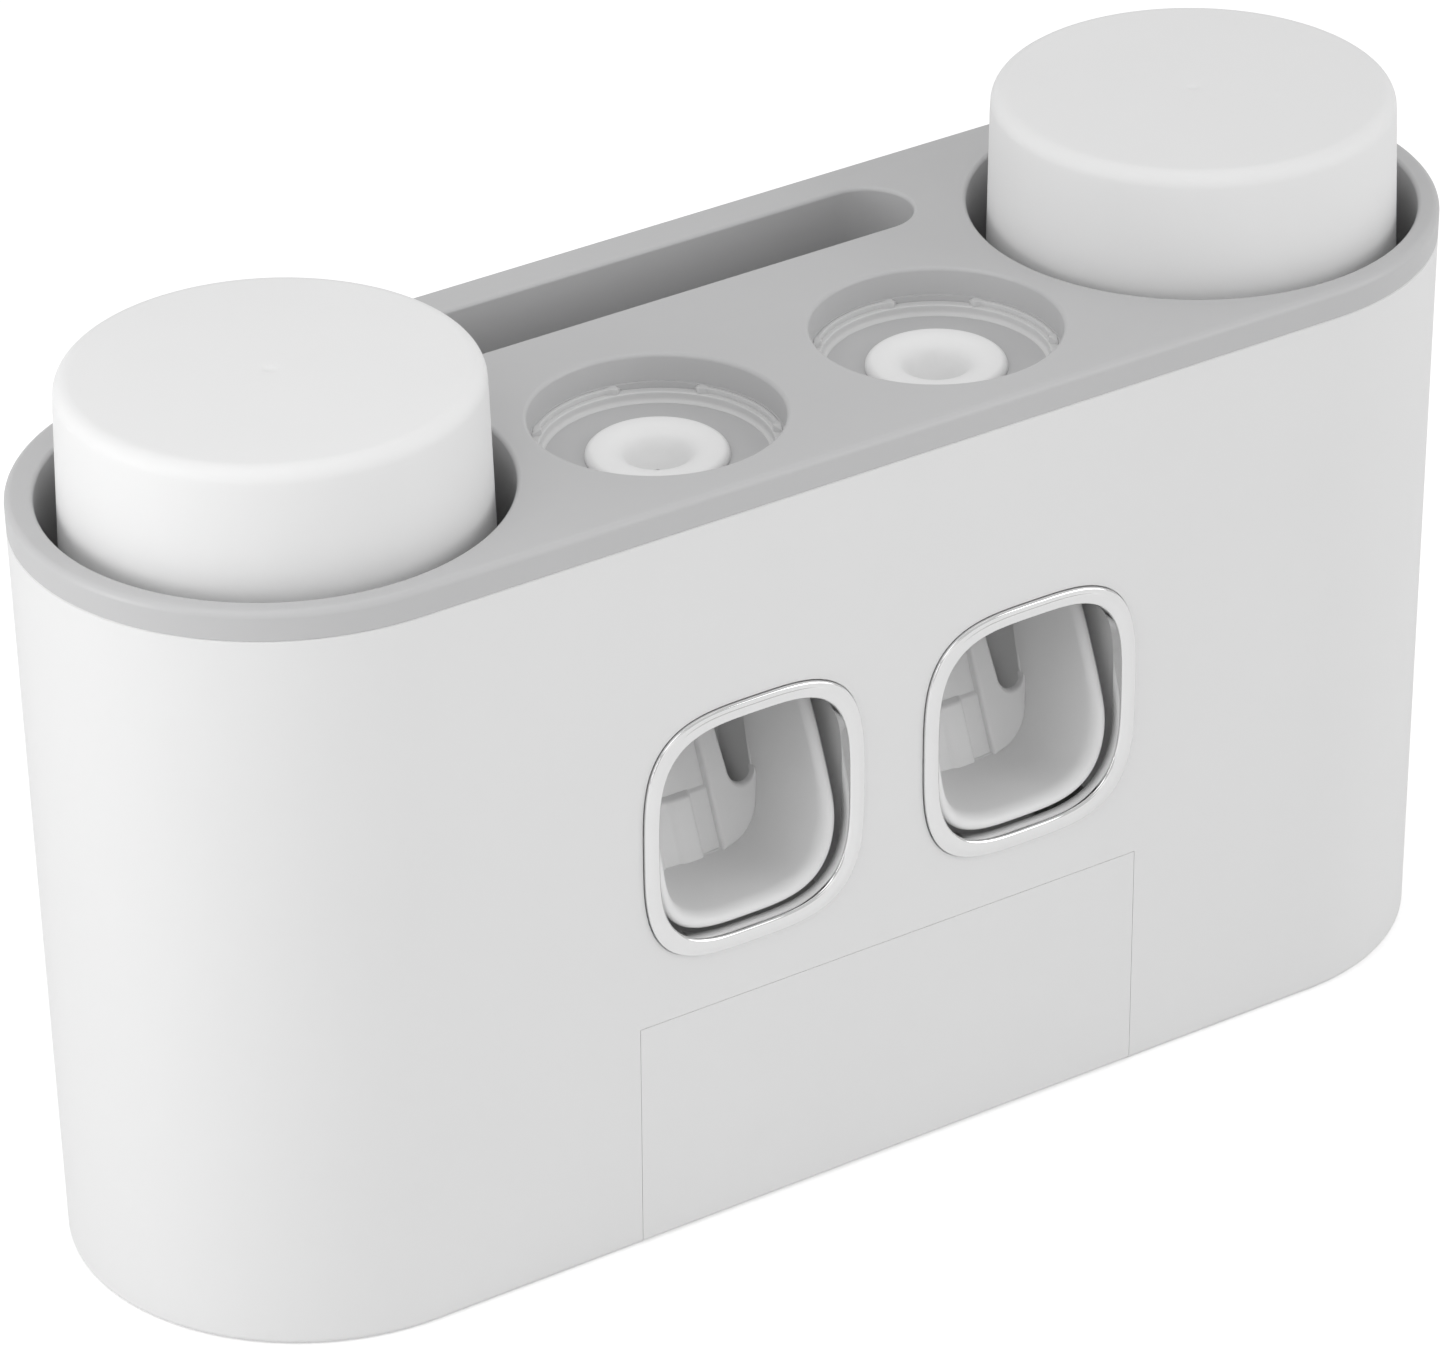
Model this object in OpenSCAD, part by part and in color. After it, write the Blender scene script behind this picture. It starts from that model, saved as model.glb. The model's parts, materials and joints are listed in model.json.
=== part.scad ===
// Bathroom toothpaste dispenser with two cups, two brush windows, a rear slot and a drawer.
// Millimetres. X runs along the length, Y towards the wall, Z up.
// The origin is the middle of the underside.

/* [Body] */
// Length of the body at the deck
body_len = 288.2; // [284:0.2:310]
// Depth of the body at the deck, also twice the radius of its round ends
body_depth = 94.2; // [93:0.2:102]
// Height of the body with the deck on
body_h = 150; // [148:1:170]
// How far each side draws in from the deck to the underside
body_draft = 2.64; // [0.6:0.02:3]
// Thickness of the body walls
shell_wall = 2.2; // [1.8:0.1:2.4]
// Height of the grey band that the deck shows round its edge
band_h = 5.7; // [4:0.1:8]
// Rounding of the edges of deck and underside
edge_r = 1.4; // [0.6:0.1:2]

/* [Cups] */
// How far each cup stands outside the centre of its round end
cup_outward = 1; // [0.5:0.1:1.5]
// How far the cups stand towards the front
cup_forward = 1.05; // [0:0.05:1.2]
// Play between the mouth of a parked cup and the foot of its well
cup_play = 0.83; // [0.6:0.01:2]
// Height of a cup
cup_h = 100; // [80:1:102]
// How far a parked cup stands above the deck
cup_show = 22.3; // [15:0.1:30]
// Widening of a cup from base to mouth, for each mm of height
cup_slope = 0.0237; // [0.005:0.0001:0.025]
// Thickness of a cup wall
cup_wall = 1.8; // [1.4:0.1:2.6]
// Land between a cup well and the edge of the deck
well_rim = 5.5; // [5.2:0.1:5.8]
// How far a well draws in towards its floor
well_draft = 1.2; // [0.4:0.1:1.3]

/* [Tube sockets] */
// Distance from the middle to each socket, window and pump
station_x = 29.8; // [28.5:0.1:30.4]
// Land between a socket and the front edge of the deck
socket_rim = 7.7; // [7:0.1:8.5]
// Radius of a socket for the shoulder of a tube
socket_r = 22.8; // [21.5:0.1:23]
// Depth of a socket
socket_depth = 8.5; // [7.5:0.1:10]
// Radius of the soft seal that the tube presses on
seal_r = 13; // [11:0.1:15]

/* [Rear slot] */
// Length of the rear slot
slot_len = 109.8; // [90:0.1:112]
// Width of the rear slot
slot_w = 17.6; // [14:0.1:18]
// Land between the slot and the rear edge of the deck
slot_rim = 8.75; // [8:0.05:9.5]
// Depth of the rear slot
slot_depth = 96; // [60:1:97]

/* [Brush windows] */
// Height of the middle of a window
window_z = 81.9; // [80.5:0.1:83.5]
// Width over a window frame
window_w = 46.6; // [45.6:0.1:49]
// Height over a window frame
window_h = 50.2; // [49.4:0.1:52]
// Width of a window frame
frame_w = 3.16; // [2.6:0.02:3.4]
// Squareness of a window, where 2 is an ellipse
window_square = 3.4; // [3:0.1:4.4]
// How far a window frame stands out of the wall
frame_proud = 0.8; // [0.4:0.1:1.4]

/* [Push levers] */
// Lean of a resting lever
lever_lean = 22.4; // [21:0.1:23.4]
// Angle that a lever swings when it is pushed
lever_swing = 20; // [10:0.5:21]
// Gap between a lever and its window frame
lever_gap = 1.55; // [1.3:0.05:2]
// Thickness of a lever wall
lever_wall = 1.5; // [1.2:0.1:1.8]
// Width of the two slits in the back of a lever
slit_w = 5.4; // [3.5:0.1:5.6]

/* [Pumps] */
// Radius of a pump bore
bore_r = 6; // [5:0.1:6.4]
// Radial play of a piston in its bore
piston_play = 0.08; // [0.04:0.01:0.1]

/* [Drawer] */
// Width of the drawer front
drawer_w = 109; // [100:0.5:110]
// Height of the drawer front
drawer_h = 46.3; // [40:0.1:47]
// Gap round the drawer front
drawer_gap = 0.35; // [0.3:0.01:0.6]
// How far the drawer pulls out
drawer_travel = 60; // [40:1:62]

/* [Wall hanging] */
// Distance between the two keyholes in the back
keyhole_spacing = 120; // [118:1:126]
// Height of the keyholes
keyhole_z = 118; // [100:1:122]
// Radius of a keyhole for the screw head
keyhole_r = 4.2; // [3.5:0.1:4.6]

/* [Hidden] */
$fn = 96;
eps = 0.01;

// Radius of the round ends at the deck, and the distance from the middle to their centres
end_r = body_depth / 2;
end_x = body_len / 2 - end_r;
draft_angle = atan(body_draft / body_h);

// Heights
band_z = body_h - band_h;
deck_t = 2.4;
base_z = 0.6;
base_t = 2.4;
base_top = base_z + base_t;
cup_top_z = body_h + cup_show;
cup_mouth_z = cup_top_z - cup_h;
cup_base_t = 2.2;
cup_edge_r = 2.6;
rest_gap = 0.3;

// Cups and their wells, widest at the deck, with each cup parked mouth down
cup_x = end_x + cup_outward;
well_r = end_r - well_rim;
cup_mouth_r = well_r - well_draft - cup_play;
cup_base_r = cup_mouth_r - cup_slope * cup_h;
well_floor_z = cup_mouth_z - rest_gap;
well_wall = 1.4;
well_floor_t = 2;
drain_r = 5;

// Rear slot
slot_y = end_r - slot_rim - slot_w / 2;
slot_wall = 1.5;
slot_floor_z = body_h - slot_depth;

// Sockets
socket_y = -(end_r - socket_rim - socket_r);
socket_floor_z = body_h - socket_depth;
socket_floor_t = 1.8;
socket_under_z = socket_floor_z - socket_floor_t;
socket_wall = 1.4;
ring_w = 1.6;
ring_h = 2;
lug_h = 1;
ring_step = 0.3;
ring_top_z = socket_floor_z + ring_h + lug_h;
lug_out = 0.9;
lug_angle = 62;
lug_gap_angle = 34;
lug_turn = 57;
neck_r = 6.5;

// Front face, windows and frames
window_half_w = window_w / 2;
window_half_h = window_h / 2;
flange_lap = 1.1;
frame_depth = 2.4;
hole_play = 0.1;
outline_steps = 72;
guide_t = 1.2;
guide_low_z = 54;
guide_top_z = window_z + 44;
guide_back_y = -4;

// Pump and lever positions, shared by both stations
pivot_y = front_y(window_z) + 26.9;
pivot_z = window_z + 24.1;
pin_r = 1.5;
pin_play = 0.05;
hub_r = 4;
cheek_in = 11.2;
cheek_out = 13.4;
lever_half_w = window_half_w - frame_w - lever_gap;
lever_gap_low = 0.8;
lever_half_h = window_half_h - frame_w - lever_gap_low;
back_v = 9.2;
back_t = 2.6;
band_half = 6.1;
band_deep = 1.5;
band_low_deep = 0.8;
slit_x = 13.3;
slit_low_w = -31.8;
step_w = -30.6;
band_low_w = -46;
back_top_w = -8;
pin_len = 2 * lever_half_w + 1.4;

// Pump
bore_z = pivot_z - 18;
tip_r = 2.5;
tip_gap = 0.35;
rod_v = back_v + back_t + tip_r + tip_gap;
tip_y = pivot_y + (rod_v - 18 * sin(lever_lean)) / cos(lever_lean);
piston_y = tip_y + 8.6;
piston_len = 5;
bore_front_y = piston_y - 2.5;
bore_back_y = bore_front_y + 18;
bore_wall = 2;
gallery_z = pivot_z + 7.6;
gallery_r = 4;
channel_r = 2.2;
spout_y = front_y(gallery_z) + 13;
spout_low_z = pivot_z + 1;
riser_y = bore_back_y - 2.6;
inlet_r = neck_r + 1.5;
inlet_bore_r = 3;
flange_r = 20.5;
flange_t = 3;
flange_low_z = socket_under_z - flange_t;
valve_t = 1.2;
flange_screw_x = 16;

// Drawer
front_t = 1.8;
front_half = drawer_w / 2 - drawer_gap;
tray_half = 51;
tray_wall = 1.6;
tray_low_z = base_top + 1;
tray_top_z = drawer_h - 4.3;
tray_front_y = front_y(0) + front_t + 1.46;
tray_back_y = radius_at(0) - 11.46;
runner_z = 12;
runner_h = 2.2;
runner_out = 1.7;
rail_gap = 0.4;
rail_w = 3.2;
rail_h = 20;
finger_r = 13;

// Posts and screws
post_r = 3.4;
post_reach = radius_at(0) - shell_wall - 4.2;
post_spots = [[70, 90], [end_x, 50]];
post_top_z = 20;
post_web = 2;
screw_r = 1.25;
head_r = 2.6;
head_t = 1.2;
cross_len = 3.2;
cross_w = 0.6;
cross_deep = 0.7;
base_screw_len = 8;

// Length of a tool body that cuts right across the model
across = 2 * body_depth;

// End radius of the body at height z
function radius_at(z) = end_r - body_draft * (body_h - z) / body_h;

// Front face of the body at height z
function front_y(z) = -radius_at(z);

// Power of a cosine or sine that keeps its sign
function signed_power(v, p) = sign(v) * pow(abs(v), p);

// Outline of a rounded square window, half sizes hw and hh
function window_outline(hw, hh) = [
    for (i = [0 : outline_steps - 1])
        let (a = 360 * i / outline_steps, p = 2 / window_square)
            [hw * signed_power(cos(a), p), hh * signed_power(sin(a), p)]
];

// Profile of the outside with rounded edges where asked, as radius and height
function outer_profile(z0, z1, low_r, high_r) = concat(
    [for (a = [0 : 22.5 : 90]) if (low_r > 0)
        [radius_at(z0) - low_r + low_r * sin(a), z0 + low_r - low_r * cos(a)]],
    [for (k = [0 : 0]) if (low_r == 0) [radius_at(z0), z0]],
    [for (a = [0 : 22.5 : 90]) if (high_r > 0)
        [radius_at(z1) - high_r + high_r * cos(a), z1 - high_r + high_r * sin(a)]],
    [for (k = [0 : 0]) if (high_r == 0) [radius_at(z1), z1]]
);

// Solid with round ends and a straight middle, from a profile of radius and height
module race(profile) {
    first = profile[0];
    last = profile[len(profile) - 1];
    half = concat([[0, first[1]]], profile, [[0, last[1]]]);
    mirrored = [for (i = [len(profile) - 1 : -1 : 0]) [-profile[i][0], profile[i][1]]];
    for (side = [-1, 1])
        translate([side * end_x, 0, 0])
            rotate_extrude()
                polygon(half);
    rotate([90, 0, 90])
        linear_extrude(height = 2 * end_x, center = true)
            polygon(concat(profile, mirrored));
}

// Inside of the body walls, with an extra inset
module race_inset(z0, z1, inset) {
    race([[radius_at(z0) - inset, z0], [radius_at(z1) - inset, z1]]);
}

// Moves a child to the left (-1) or right (1) station
module station(side) {
    translate([side * station_x, 0, 0])
        children();
}

// Puts a child drawn in X and Z, rising towards the front, onto the sloping front face
module on_front_face(z) {
    translate([0, front_y(z), z])
        rotate([90 + draft_angle, 0, 0])
            children();
}

// Puts a child into the leaning frame of a lever, with the hinge line as its origin
module lever_frame() {
    translate([0, pivot_y, pivot_z])
        rotate([-lever_lean, 0, 0])
            children();
}

// Round bar along X
module bar_x(r, length) {
    rotate([0, 90, 0])
        cylinder(r = r, h = length, center = true);
}

// Round bar along Y from y0 to y1
module bar_y(r, y0, y1) {
    translate([0, y0, 0])
        rotate([-90, 0, 0])
            cylinder(r = r, h = y1 - y0);
}

// Puts children at each screw post, with X pointing out to the wall
module at_posts() {
    for (sx = [-1, 1], sy = [-1, 1], spot = post_spots)
        to_quarter(sx, sy)
            translate([spot[0], 0, 0])
                rotate([0, 0, spot[1]])
                    translate([post_reach, 0, 0])
                        children();
}

// Mirrors children to the side and end asked for
module to_quarter(sx, sy) {
    mirror([sx < 0 ? 1 : 0, 0, 0])
        mirror([0, sy < 0 ? 1 : 0, 0])
            children();
}

// White outer shell with windows, drawer opening and keyholes
module housing() {
    color([0.93, 0.93, 0.93])
    difference() {
        union() {
            difference() {
                race(outer_profile(0, band_z, edge_r, 0));
                race_inset(-1, band_z + 1, shell_wall);
            }
            at_posts() {
                translate([0, 0, base_top])
                    cylinder(r = post_r, h = post_top_z - base_top, $fn = 32);
                translate([0, -post_web / 2, base_top])
                    cube([radius_at(0) - 1 - post_reach, post_web, post_top_z - base_top]);
            }
            for (side = [-1, 1], hand = [-1, 1])
                station(side)
                    lever_guide(hand);
        }
        for (side = [-1, 1])
            station(side)
                on_front_face(window_z)
                    translate([0, 0, -8])
                        linear_extrude(height = 12)
                            polygon(window_outline(window_half_w - flange_lap + hole_play,
                                                   window_half_h - flange_lap + hole_play));
        translate([-drawer_w / 2, -end_r - 1, -1])
            cube([drawer_w, 12, drawer_h + 1]);
        for (side = [-1, 1])
            translate([side * keyhole_spacing / 2, 0, keyhole_z])
                keyhole();
        at_posts()
            translate([0, 0, base_top - 1])
                cylinder(r = screw_r, h = 12, $fn = 32);
    }
}

// One of the two inner walls that a lever swings between
module lever_guide(hand) {
    front = front_y(guide_low_z) + shell_wall / 4;
    beside_window = window_half_w - flange_lap + 2 * hole_play;
    translate([hand * (beside_window + guide_t / 2) - guide_t / 2, front, guide_low_z])
        cube([guide_t, guide_back_y - front, guide_top_z - guide_low_z]);
}

// Screw keyhole through the rear wall
module keyhole() {
    bar_y(keyhole_r, end_r - 12, end_r + 2);
    translate([0, 0, keyhole_r + 3.8])
        bar_y(keyhole_r / 2, end_r - 12, end_r + 2);
    translate([-keyhole_r / 2, end_r - 12, 0])
        cube([keyhole_r, 14, keyhole_r + 3.8]);
}

// Space of the rear slot, grown sideways by extra
module slot_space(z0, z1, extra) {
    r = slot_w / 2 + extra;
    reach = slot_len / 2 - slot_w / 2;
    for (side = [-1, 1])
        translate([side * reach, slot_y, z0])
            cylinder(r = r, h = z1 - z0);
    translate([-reach, slot_y - r, z0])
        cube([2 * reach, 2 * r, z1 - z0]);
}

// Grey deck with cup wells, tube sockets and the rear slot in one moulding
module deck() {
    plate_z = body_h - deck_t;
    color([0.72, 0.72, 0.73])
    difference() {
        union() {
            difference() {
                race(outer_profile(band_z, body_h, 0, edge_r));
                race_inset(band_z - 1, plate_z, shell_wall + 0.4);
            }
            difference() {
                race_inset(band_z - 4, plate_z + eps, shell_wall + 0.1);
                race_inset(band_z - 5, plate_z + 1, shell_wall + 1.3);
            }
            for (side = [-1, 1]) {
                translate([side * cup_x, -cup_forward, well_floor_z - well_floor_t])
                    cylinder(r1 = well_r - well_draft + well_wall, r2 = well_r + well_wall,
                             h = body_h - 1 - well_floor_z + well_floor_t);
                translate([side * station_x, socket_y, socket_under_z])
                    cylinder(r = socket_r + socket_wall, h = plate_z + 1 - socket_under_z);
            }
            slot_space(slot_floor_z - slot_wall, plate_z + 1, slot_wall);
        }
        for (side = [-1, 1]) {
            translate([side * cup_x, -cup_forward, well_floor_z])
                cylinder(r1 = well_r - well_draft, r2 = well_r, h = body_h - well_floor_z);
            translate([side * cup_x, -cup_forward, body_h - eps])
                cylinder(r = well_r, h = 2);
            translate([side * cup_x, -cup_forward, well_floor_z - 4])
                cylinder(r = drain_r, h = 6, $fn = 48);
            translate([side * station_x, socket_y, socket_floor_z])
                cylinder(r = socket_r - ring_step, h = socket_depth);
            translate([side * station_x, socket_y, ring_top_z])
                cylinder(r = socket_r, h = body_h - ring_top_z + 1);
            translate([side * station_x, socket_y, socket_under_z - 1])
                cylinder(r = neck_r, h = 4, $fn = 64);
            for (sx = [-1, 1])
                translate([side * station_x + sx * flange_screw_x, socket_y, socket_under_z - 1])
                    cylinder(r = screw_r, h = 2.2, $fn = 32);
        }
        slot_space(slot_floor_z, body_h + 1, 0);
        for (side = [-1, 0, 1])
            translate([side * slot_len / 3, slot_y, slot_floor_z - 4])
                cylinder(r = 2.5, h = 6, $fn = 32);
    }
}

// Closing plate of the underside
module base_plate() {
    color([0.86, 0.86, 0.86])
    difference() {
        race_inset(base_z, base_top, shell_wall + 0.2);
        translate([0, -radius_at(0) + shell_wall - 4, -1])
            cylinder(r = finger_r, h = 8);
        at_posts()
            base_screw_hole();
    }
}

// Stepped hole for one screw of the base plate
module base_screw_hole() {
    translate([0, 0, -1])
        cylinder(r = screw_r + 0.3, h = base_top + 2, $fn = 32);
    translate([0, 0, -1])
        cylinder(r = head_r + 0.3, h = 1 + base_z + head_t, $fn = 32);
}

// Screws that hold the base plate to the posts of the shell
module base_screws() {
    color([0.75, 0.76, 0.78])
    at_posts()
        translate([0, 0, base_z])
            screw(base_screw_len);
}

// One screw with its head below, drive cross included
module screw(length) {
    difference() {
        union() {
            cylinder(r = head_r, h = head_t, $fn = 32);
            cylinder(r = screw_r - 0.05, h = length, $fn = 32);
        }
        for (turn = [0, 90])
            rotate([0, 0, turn])
                translate([-cross_len / 2, -cross_w / 2, -1])
                    cube([cross_len, cross_w, 1 + cross_deep]);
    }
}

// Drinking cup, parked with its mouth down in a well
module cup(side) {
    inner_top_z = cup_top_z - cup_base_t;
    inner_top_r = cup_base_r + cup_slope * cup_base_t - cup_wall;
    rounded = [for (a = [0 : 15 : 90])
        [cup_base_r - cup_edge_r + cup_edge_r * cos(a),
         cup_top_z - cup_edge_r + cup_edge_r * sin(a)]];
    color([0.95, 0.95, 0.95])
    translate([side * cup_x, -cup_forward, 0])
        difference() {
            rotate_extrude()
                polygon(concat([[0, cup_mouth_z], [cup_mouth_r, cup_mouth_z]],
                               rounded, [[0, cup_top_z]]));
            translate([0, 0, cup_mouth_z - 1])
                cylinder(r1 = cup_mouth_r - cup_wall + cup_slope, r2 = inner_top_r,
                         h = inner_top_z - cup_mouth_z + 1);
        }
}

// Bright frame of a window
module window_frame(side) {
    inner_w = window_half_w - frame_w;
    inner_h = window_half_h - frame_w;
    soft = 0.4;
    color([0.85, 0.86, 0.88])
    station(side)
        on_front_face(window_z)
            difference() {
                union() {
                    linear_extrude(height = frame_proud - soft)
                        polygon(window_outline(window_half_w, window_half_h));
                    linear_extrude(height = frame_proud)
                        polygon(window_outline(window_half_w - soft, window_half_h - soft));
                    translate([0, 0, -frame_depth])
                        linear_extrude(height = frame_depth + frame_proud / 4)
                            polygon(window_outline(window_half_w - flange_lap,
                                                   window_half_h - flange_lap));
                }
                translate([0, 0, -frame_depth - 1])
                    linear_extrude(height = frame_depth + frame_proud + 2)
                        polygon(window_outline(inner_w, inner_h));
                translate([0, 0, frame_proud - soft])
                    linear_extrude(height = 2)
                        polygon(window_outline(inner_w + soft, inner_h + soft));
            }
}

// Ring in a socket with the two pairs of lugs that hold a tube adapter
module tube_ring(side) {
    outer = socket_r - ring_step - 0.05;
    overlap = 0.3;
    color([0.78, 0.78, 0.79])
    translate([side * station_x, socket_y, socket_floor_z]) {
        difference() {
            cylinder(r = outer, h = ring_h);
            translate([0, 0, -1])
                cylinder(r = outer - ring_w, h = ring_h + 2);
        }
        for (turn = [0, 180], hand = [-1, 1])
            rotate([0, 0, turn + lug_turn + hand * (lug_gap_angle + lug_angle) / 2 - lug_angle / 2])
                translate([0, 0, ring_h - overlap])
                    rotate_extrude(angle = lug_angle)
                        translate([outer - ring_w - lug_out, 0])
                            square([ring_w + lug_out - 0.2, lug_h + overlap]);
    }
}

// Soft seal with a funnel that the neck of a tube presses on
module tube_seal(side) {
    low_z = socket_under_z - 1.5;
    color([0.96, 0.96, 0.95])
    translate([side * station_x, socket_y, 0])
        rotate_extrude()
            polygon([
                [2.6, low_z],
                [neck_r - 0.1, low_z],
                [neck_r - 0.1, socket_floor_z],
                [seal_r, socket_floor_z],
                [seal_r, socket_floor_z + 0.5],
                [seal_r - 0.9, socket_floor_z + 1.3],
                [seal_r - 3, socket_floor_z + 1.7],
                [7.4, socket_floor_z + 1.6],
                [6.2, socket_floor_z + 1],
                [4.6, socket_floor_z - 0.6],
                [2.6, socket_floor_z - 1.6]
            ]);
}

// Pump body with flange, inlet, gallery, spout, bore and hinge cheeks
module pump_body(side) {
    color([0.88, 0.88, 0.88])
    station(side)
        difference() {
            union() {
                translate([0, socket_y, flange_low_z])
                    cylinder(r = flange_r, h = flange_t);
                translate([0, socket_y, gallery_z])
                    cylinder(r = inlet_r, h = flange_low_z - gallery_z + eps);
                translate([0, 0, gallery_z])
                    bar_y(gallery_r, spout_y, riser_y);
                translate([0, spout_y, spout_low_z])
                    cylinder(r = gallery_r, h = gallery_z - spout_low_z);
                translate([0, spout_y, gallery_z])
                    sphere(r = gallery_r, $fn = 48);
                translate([0, riser_y, gallery_z])
                    sphere(r = gallery_r, $fn = 48);
                translate([0, riser_y, bore_z])
                    cylinder(r = gallery_r, h = gallery_z - bore_z);
                translate([0, 0, bore_z])
                    bar_y(bore_r + bore_wall, bore_front_y, bore_back_y + bore_wall);
                for (hand = [-1, 1])
                    pump_cheek(hand);
            }
            translate([0, socket_y, gallery_z])
                cylinder(r = inlet_bore_r, h = flange_low_z - gallery_z, $fn = 48);
            translate([0, socket_y, flange_low_z - eps])
                cylinder(r = neck_r, h = flange_t + 1, $fn = 64);
            translate([0, 0, gallery_z])
                bar_y(channel_r, spout_y, riser_y);
            translate([0, spout_y, spout_low_z - 1])
                cylinder(r = channel_r, h = gallery_z - spout_low_z + 1, $fn = 48);
            translate([0, riser_y, bore_z])
                cylinder(r = channel_r, h = gallery_z - bore_z, $fn = 48);
            translate([0, 0, bore_z])
                bar_y(bore_r, bore_front_y - 1, bore_back_y);
            translate([0, pivot_y, pivot_z])
                bar_x(pin_r, 4 * cheek_out);
            for (sx = [-1, 1])
                translate([sx * flange_screw_x, socket_y, flange_low_z - 1])
                    cylinder(r = screw_r + 0.2, h = flange_t + 2, $fn = 32);
        }
}

// One cheek that carries the hinge pin
module pump_cheek(hand) {
    width = cheek_out - cheek_in;
    translate([hand * (cheek_in + cheek_out) / 2, pivot_y, 0]) {
        translate([-width / 2, -hub_r, pivot_z])
            cube([width, 2 * hub_r, flange_low_z - pivot_z + eps]);
        translate([0, 0, pivot_z])
            bar_x(hub_r, width);
    }
}

// Screws that hold a pump flange under its socket
module pump_screws() {
    color([0.75, 0.76, 0.78])
    for (side = [-1, 1], sx = [-1, 1])
        translate([side * station_x + sx * flange_screw_x, socket_y, flange_low_z - head_t])
            screw(head_t + flange_t + 1);
}

// Flap that lets paste in from the tube and not back
module inlet_valve(side) {
    low_z = flange_low_z + eps;
    color([0.9, 0.9, 0.86])
    translate([side * station_x, socket_y, low_z])
        difference() {
            cylinder(r = neck_r - 0.1, h = valve_t);
            translate([0, 0, -1])
                cylinder(r = 0.8, h = valve_t + 2, $fn = 32);
        }
}

// Soft lipped cap on the spout
module outlet_valve(side) {
    length = 5;
    lip = 1.6;
    cap_r = gallery_r + 0.9;
    cap_play = 0.06;
    cap_h = 2.4;
    cap_lap = 0.4;
    color([0.9, 0.9, 0.86])
    translate([side * station_x, spout_y, spout_low_z])
        difference() {
            union() {
                translate([0, 0, -cap_lap])
                    cylinder(r = cap_r, h = cap_h + cap_lap, $fn = 48);
                translate([0, 0, cap_lap - length])
                    cylinder(r1 = lip, r2 = cap_r - 0.8, h = length - 2 * cap_lap + eps, $fn = 48);
            }
            translate([0, 0, -cap_play])
                cylinder(r = gallery_r + cap_play, h = 6, $fn = 48);
            translate([0, 0, -length])
                cylinder(r = 0.7, h = length + 1, $fn = 24);
        }
}

// Outline of a lever from the front: rounded below, straight sides above
module lever_outline(inset) {
    half_w = lever_half_w - inset;
    around = window_outline(half_w, lever_half_h - inset);
    lower = [for (i = [outline_steps / 2 : outline_steps]) around[i % outline_steps]];
    polygon(concat(lower, [[half_w, 40], [-half_w, 40]]));
}

// Lever outline drawn back through the body
module lever_prism(inset) {
    translate([0, across / 2, window_z])
        rotate([90, 0, 0])
            linear_extrude(height = across)
                lever_outline(inset);
}

// Side view of a lever in its leaning frame, as depth and height
module lever_side(back) {
    rotate([90, 0, 90])
        linear_extrude(height = across, center = true)
            polygon([
                [-6.2, -across / 2],
                [-6.2, -56],
                [-5.9, -51.1],
                [-9.2, -42.5],
                [-10.9, -37.2],
                [-11.2, -32],
                [-10.6, -26.4],
                [-9.4, -16.2],
                [-hub_r, 0],
                [-hub_r, 2],
                [hub_r, 2],
                [back, back_top_w],
                [back, -across / 2]
            ]);
}

// Hinged scoop behind a window that the brush head pushes back
module lever(side) {
    front = -across / 2;
    color([0.82, 0.82, 0.83])
    station(side)
        difference() {
            intersection() {
                lever_prism(0);
                lever_frame()
                    lever_side(back_v + back_t);
            }
            intersection() {
                lever_prism(lever_wall);
                lever_frame()
                    union() {
                        translate([-across / 2, front, -across / 2])
                            cube([across, back_v - front, across]);
                        translate([-across / 2, front, back_top_w])
                            cube([across, across, across]);
                    }
            }
            lever_frame() {
                for (hand = [-1, 1])
                    translate([hand * slit_x, 0, slit_low_w])
                        lever_slit();
                translate([-band_half, back_v - 1, step_w])
                    cube([2 * band_half, 1 + band_deep, across / 2]);
                translate([-band_half, back_v - 1, band_low_w])
                    cube([2 * band_half, 1 + band_low_deep, step_w - band_low_w + 2]);
                bar_x(pin_r + pin_play, across);
            }
        }
}

// Slit with a round foot through the back of a lever
module lever_slit() {
    from_v = back_v - 3;
    to_v = back_v + back_t + 3;
    translate([0, 0, slit_w / 2])
        bar_y(slit_w / 2, from_v, to_v);
    translate([-slit_w / 2, from_v, slit_w / 2])
        cube([slit_w, to_v - from_v, across / 2]);
}

// Hinge pin of a lever
module lever_pin(side) {
    color([0.7, 0.71, 0.73])
    station(side)
        translate([0, pivot_y, pivot_z])
            bar_x(pin_r, pin_len);
}

// Coil round the hinge pin that swings a lever forward again
module lever_spring(side) {
    wire_r = 0.4;
    coil_r = pin_r + 0.3 + wire_r;
    coil_x = cheek_out + 0.3 + wire_r;
    color([0.7, 0.71, 0.73])
    station(side)
        translate([coil_x, pivot_y, pivot_z]) {
            rotate([0, 90, 0])
                rotate_extrude($fn = 48)
                    for (turn = [0, 1])
                        translate([coil_r, turn * 1.6 * wire_r])
                            circle(r = wire_r, $fn = 16);
            translate([0.8 * wire_r, -coil_r, 0])
                cylinder(r = wire_r - 0.1, h = 12, $fn = 16);
        }
}

// Piston with the rod that a lever pushes
module piston(side) {
    color([0.85, 0.85, 0.85])
    station(side)
        translate([0, 0, bore_z])
            difference() {
                union() {
                    bar_y(bore_r - piston_play, piston_y, piston_y + piston_len);
                    bar_y(tip_r, tip_y, piston_y + 1);
                    translate([0, tip_y, 0])
                        sphere(r = tip_r, $fn = 48);
                }
                translate([0, piston_y + piston_len / 2 - 0.8, 0])
                    rotate([-90, 0, 0])
                        difference() {
                            cylinder(r = bore_r + 1, h = 1.6);
                            translate([0, 0, -1])
                                cylinder(r = bore_r - 1.4, h = 4);
                        }
            }
}

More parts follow.
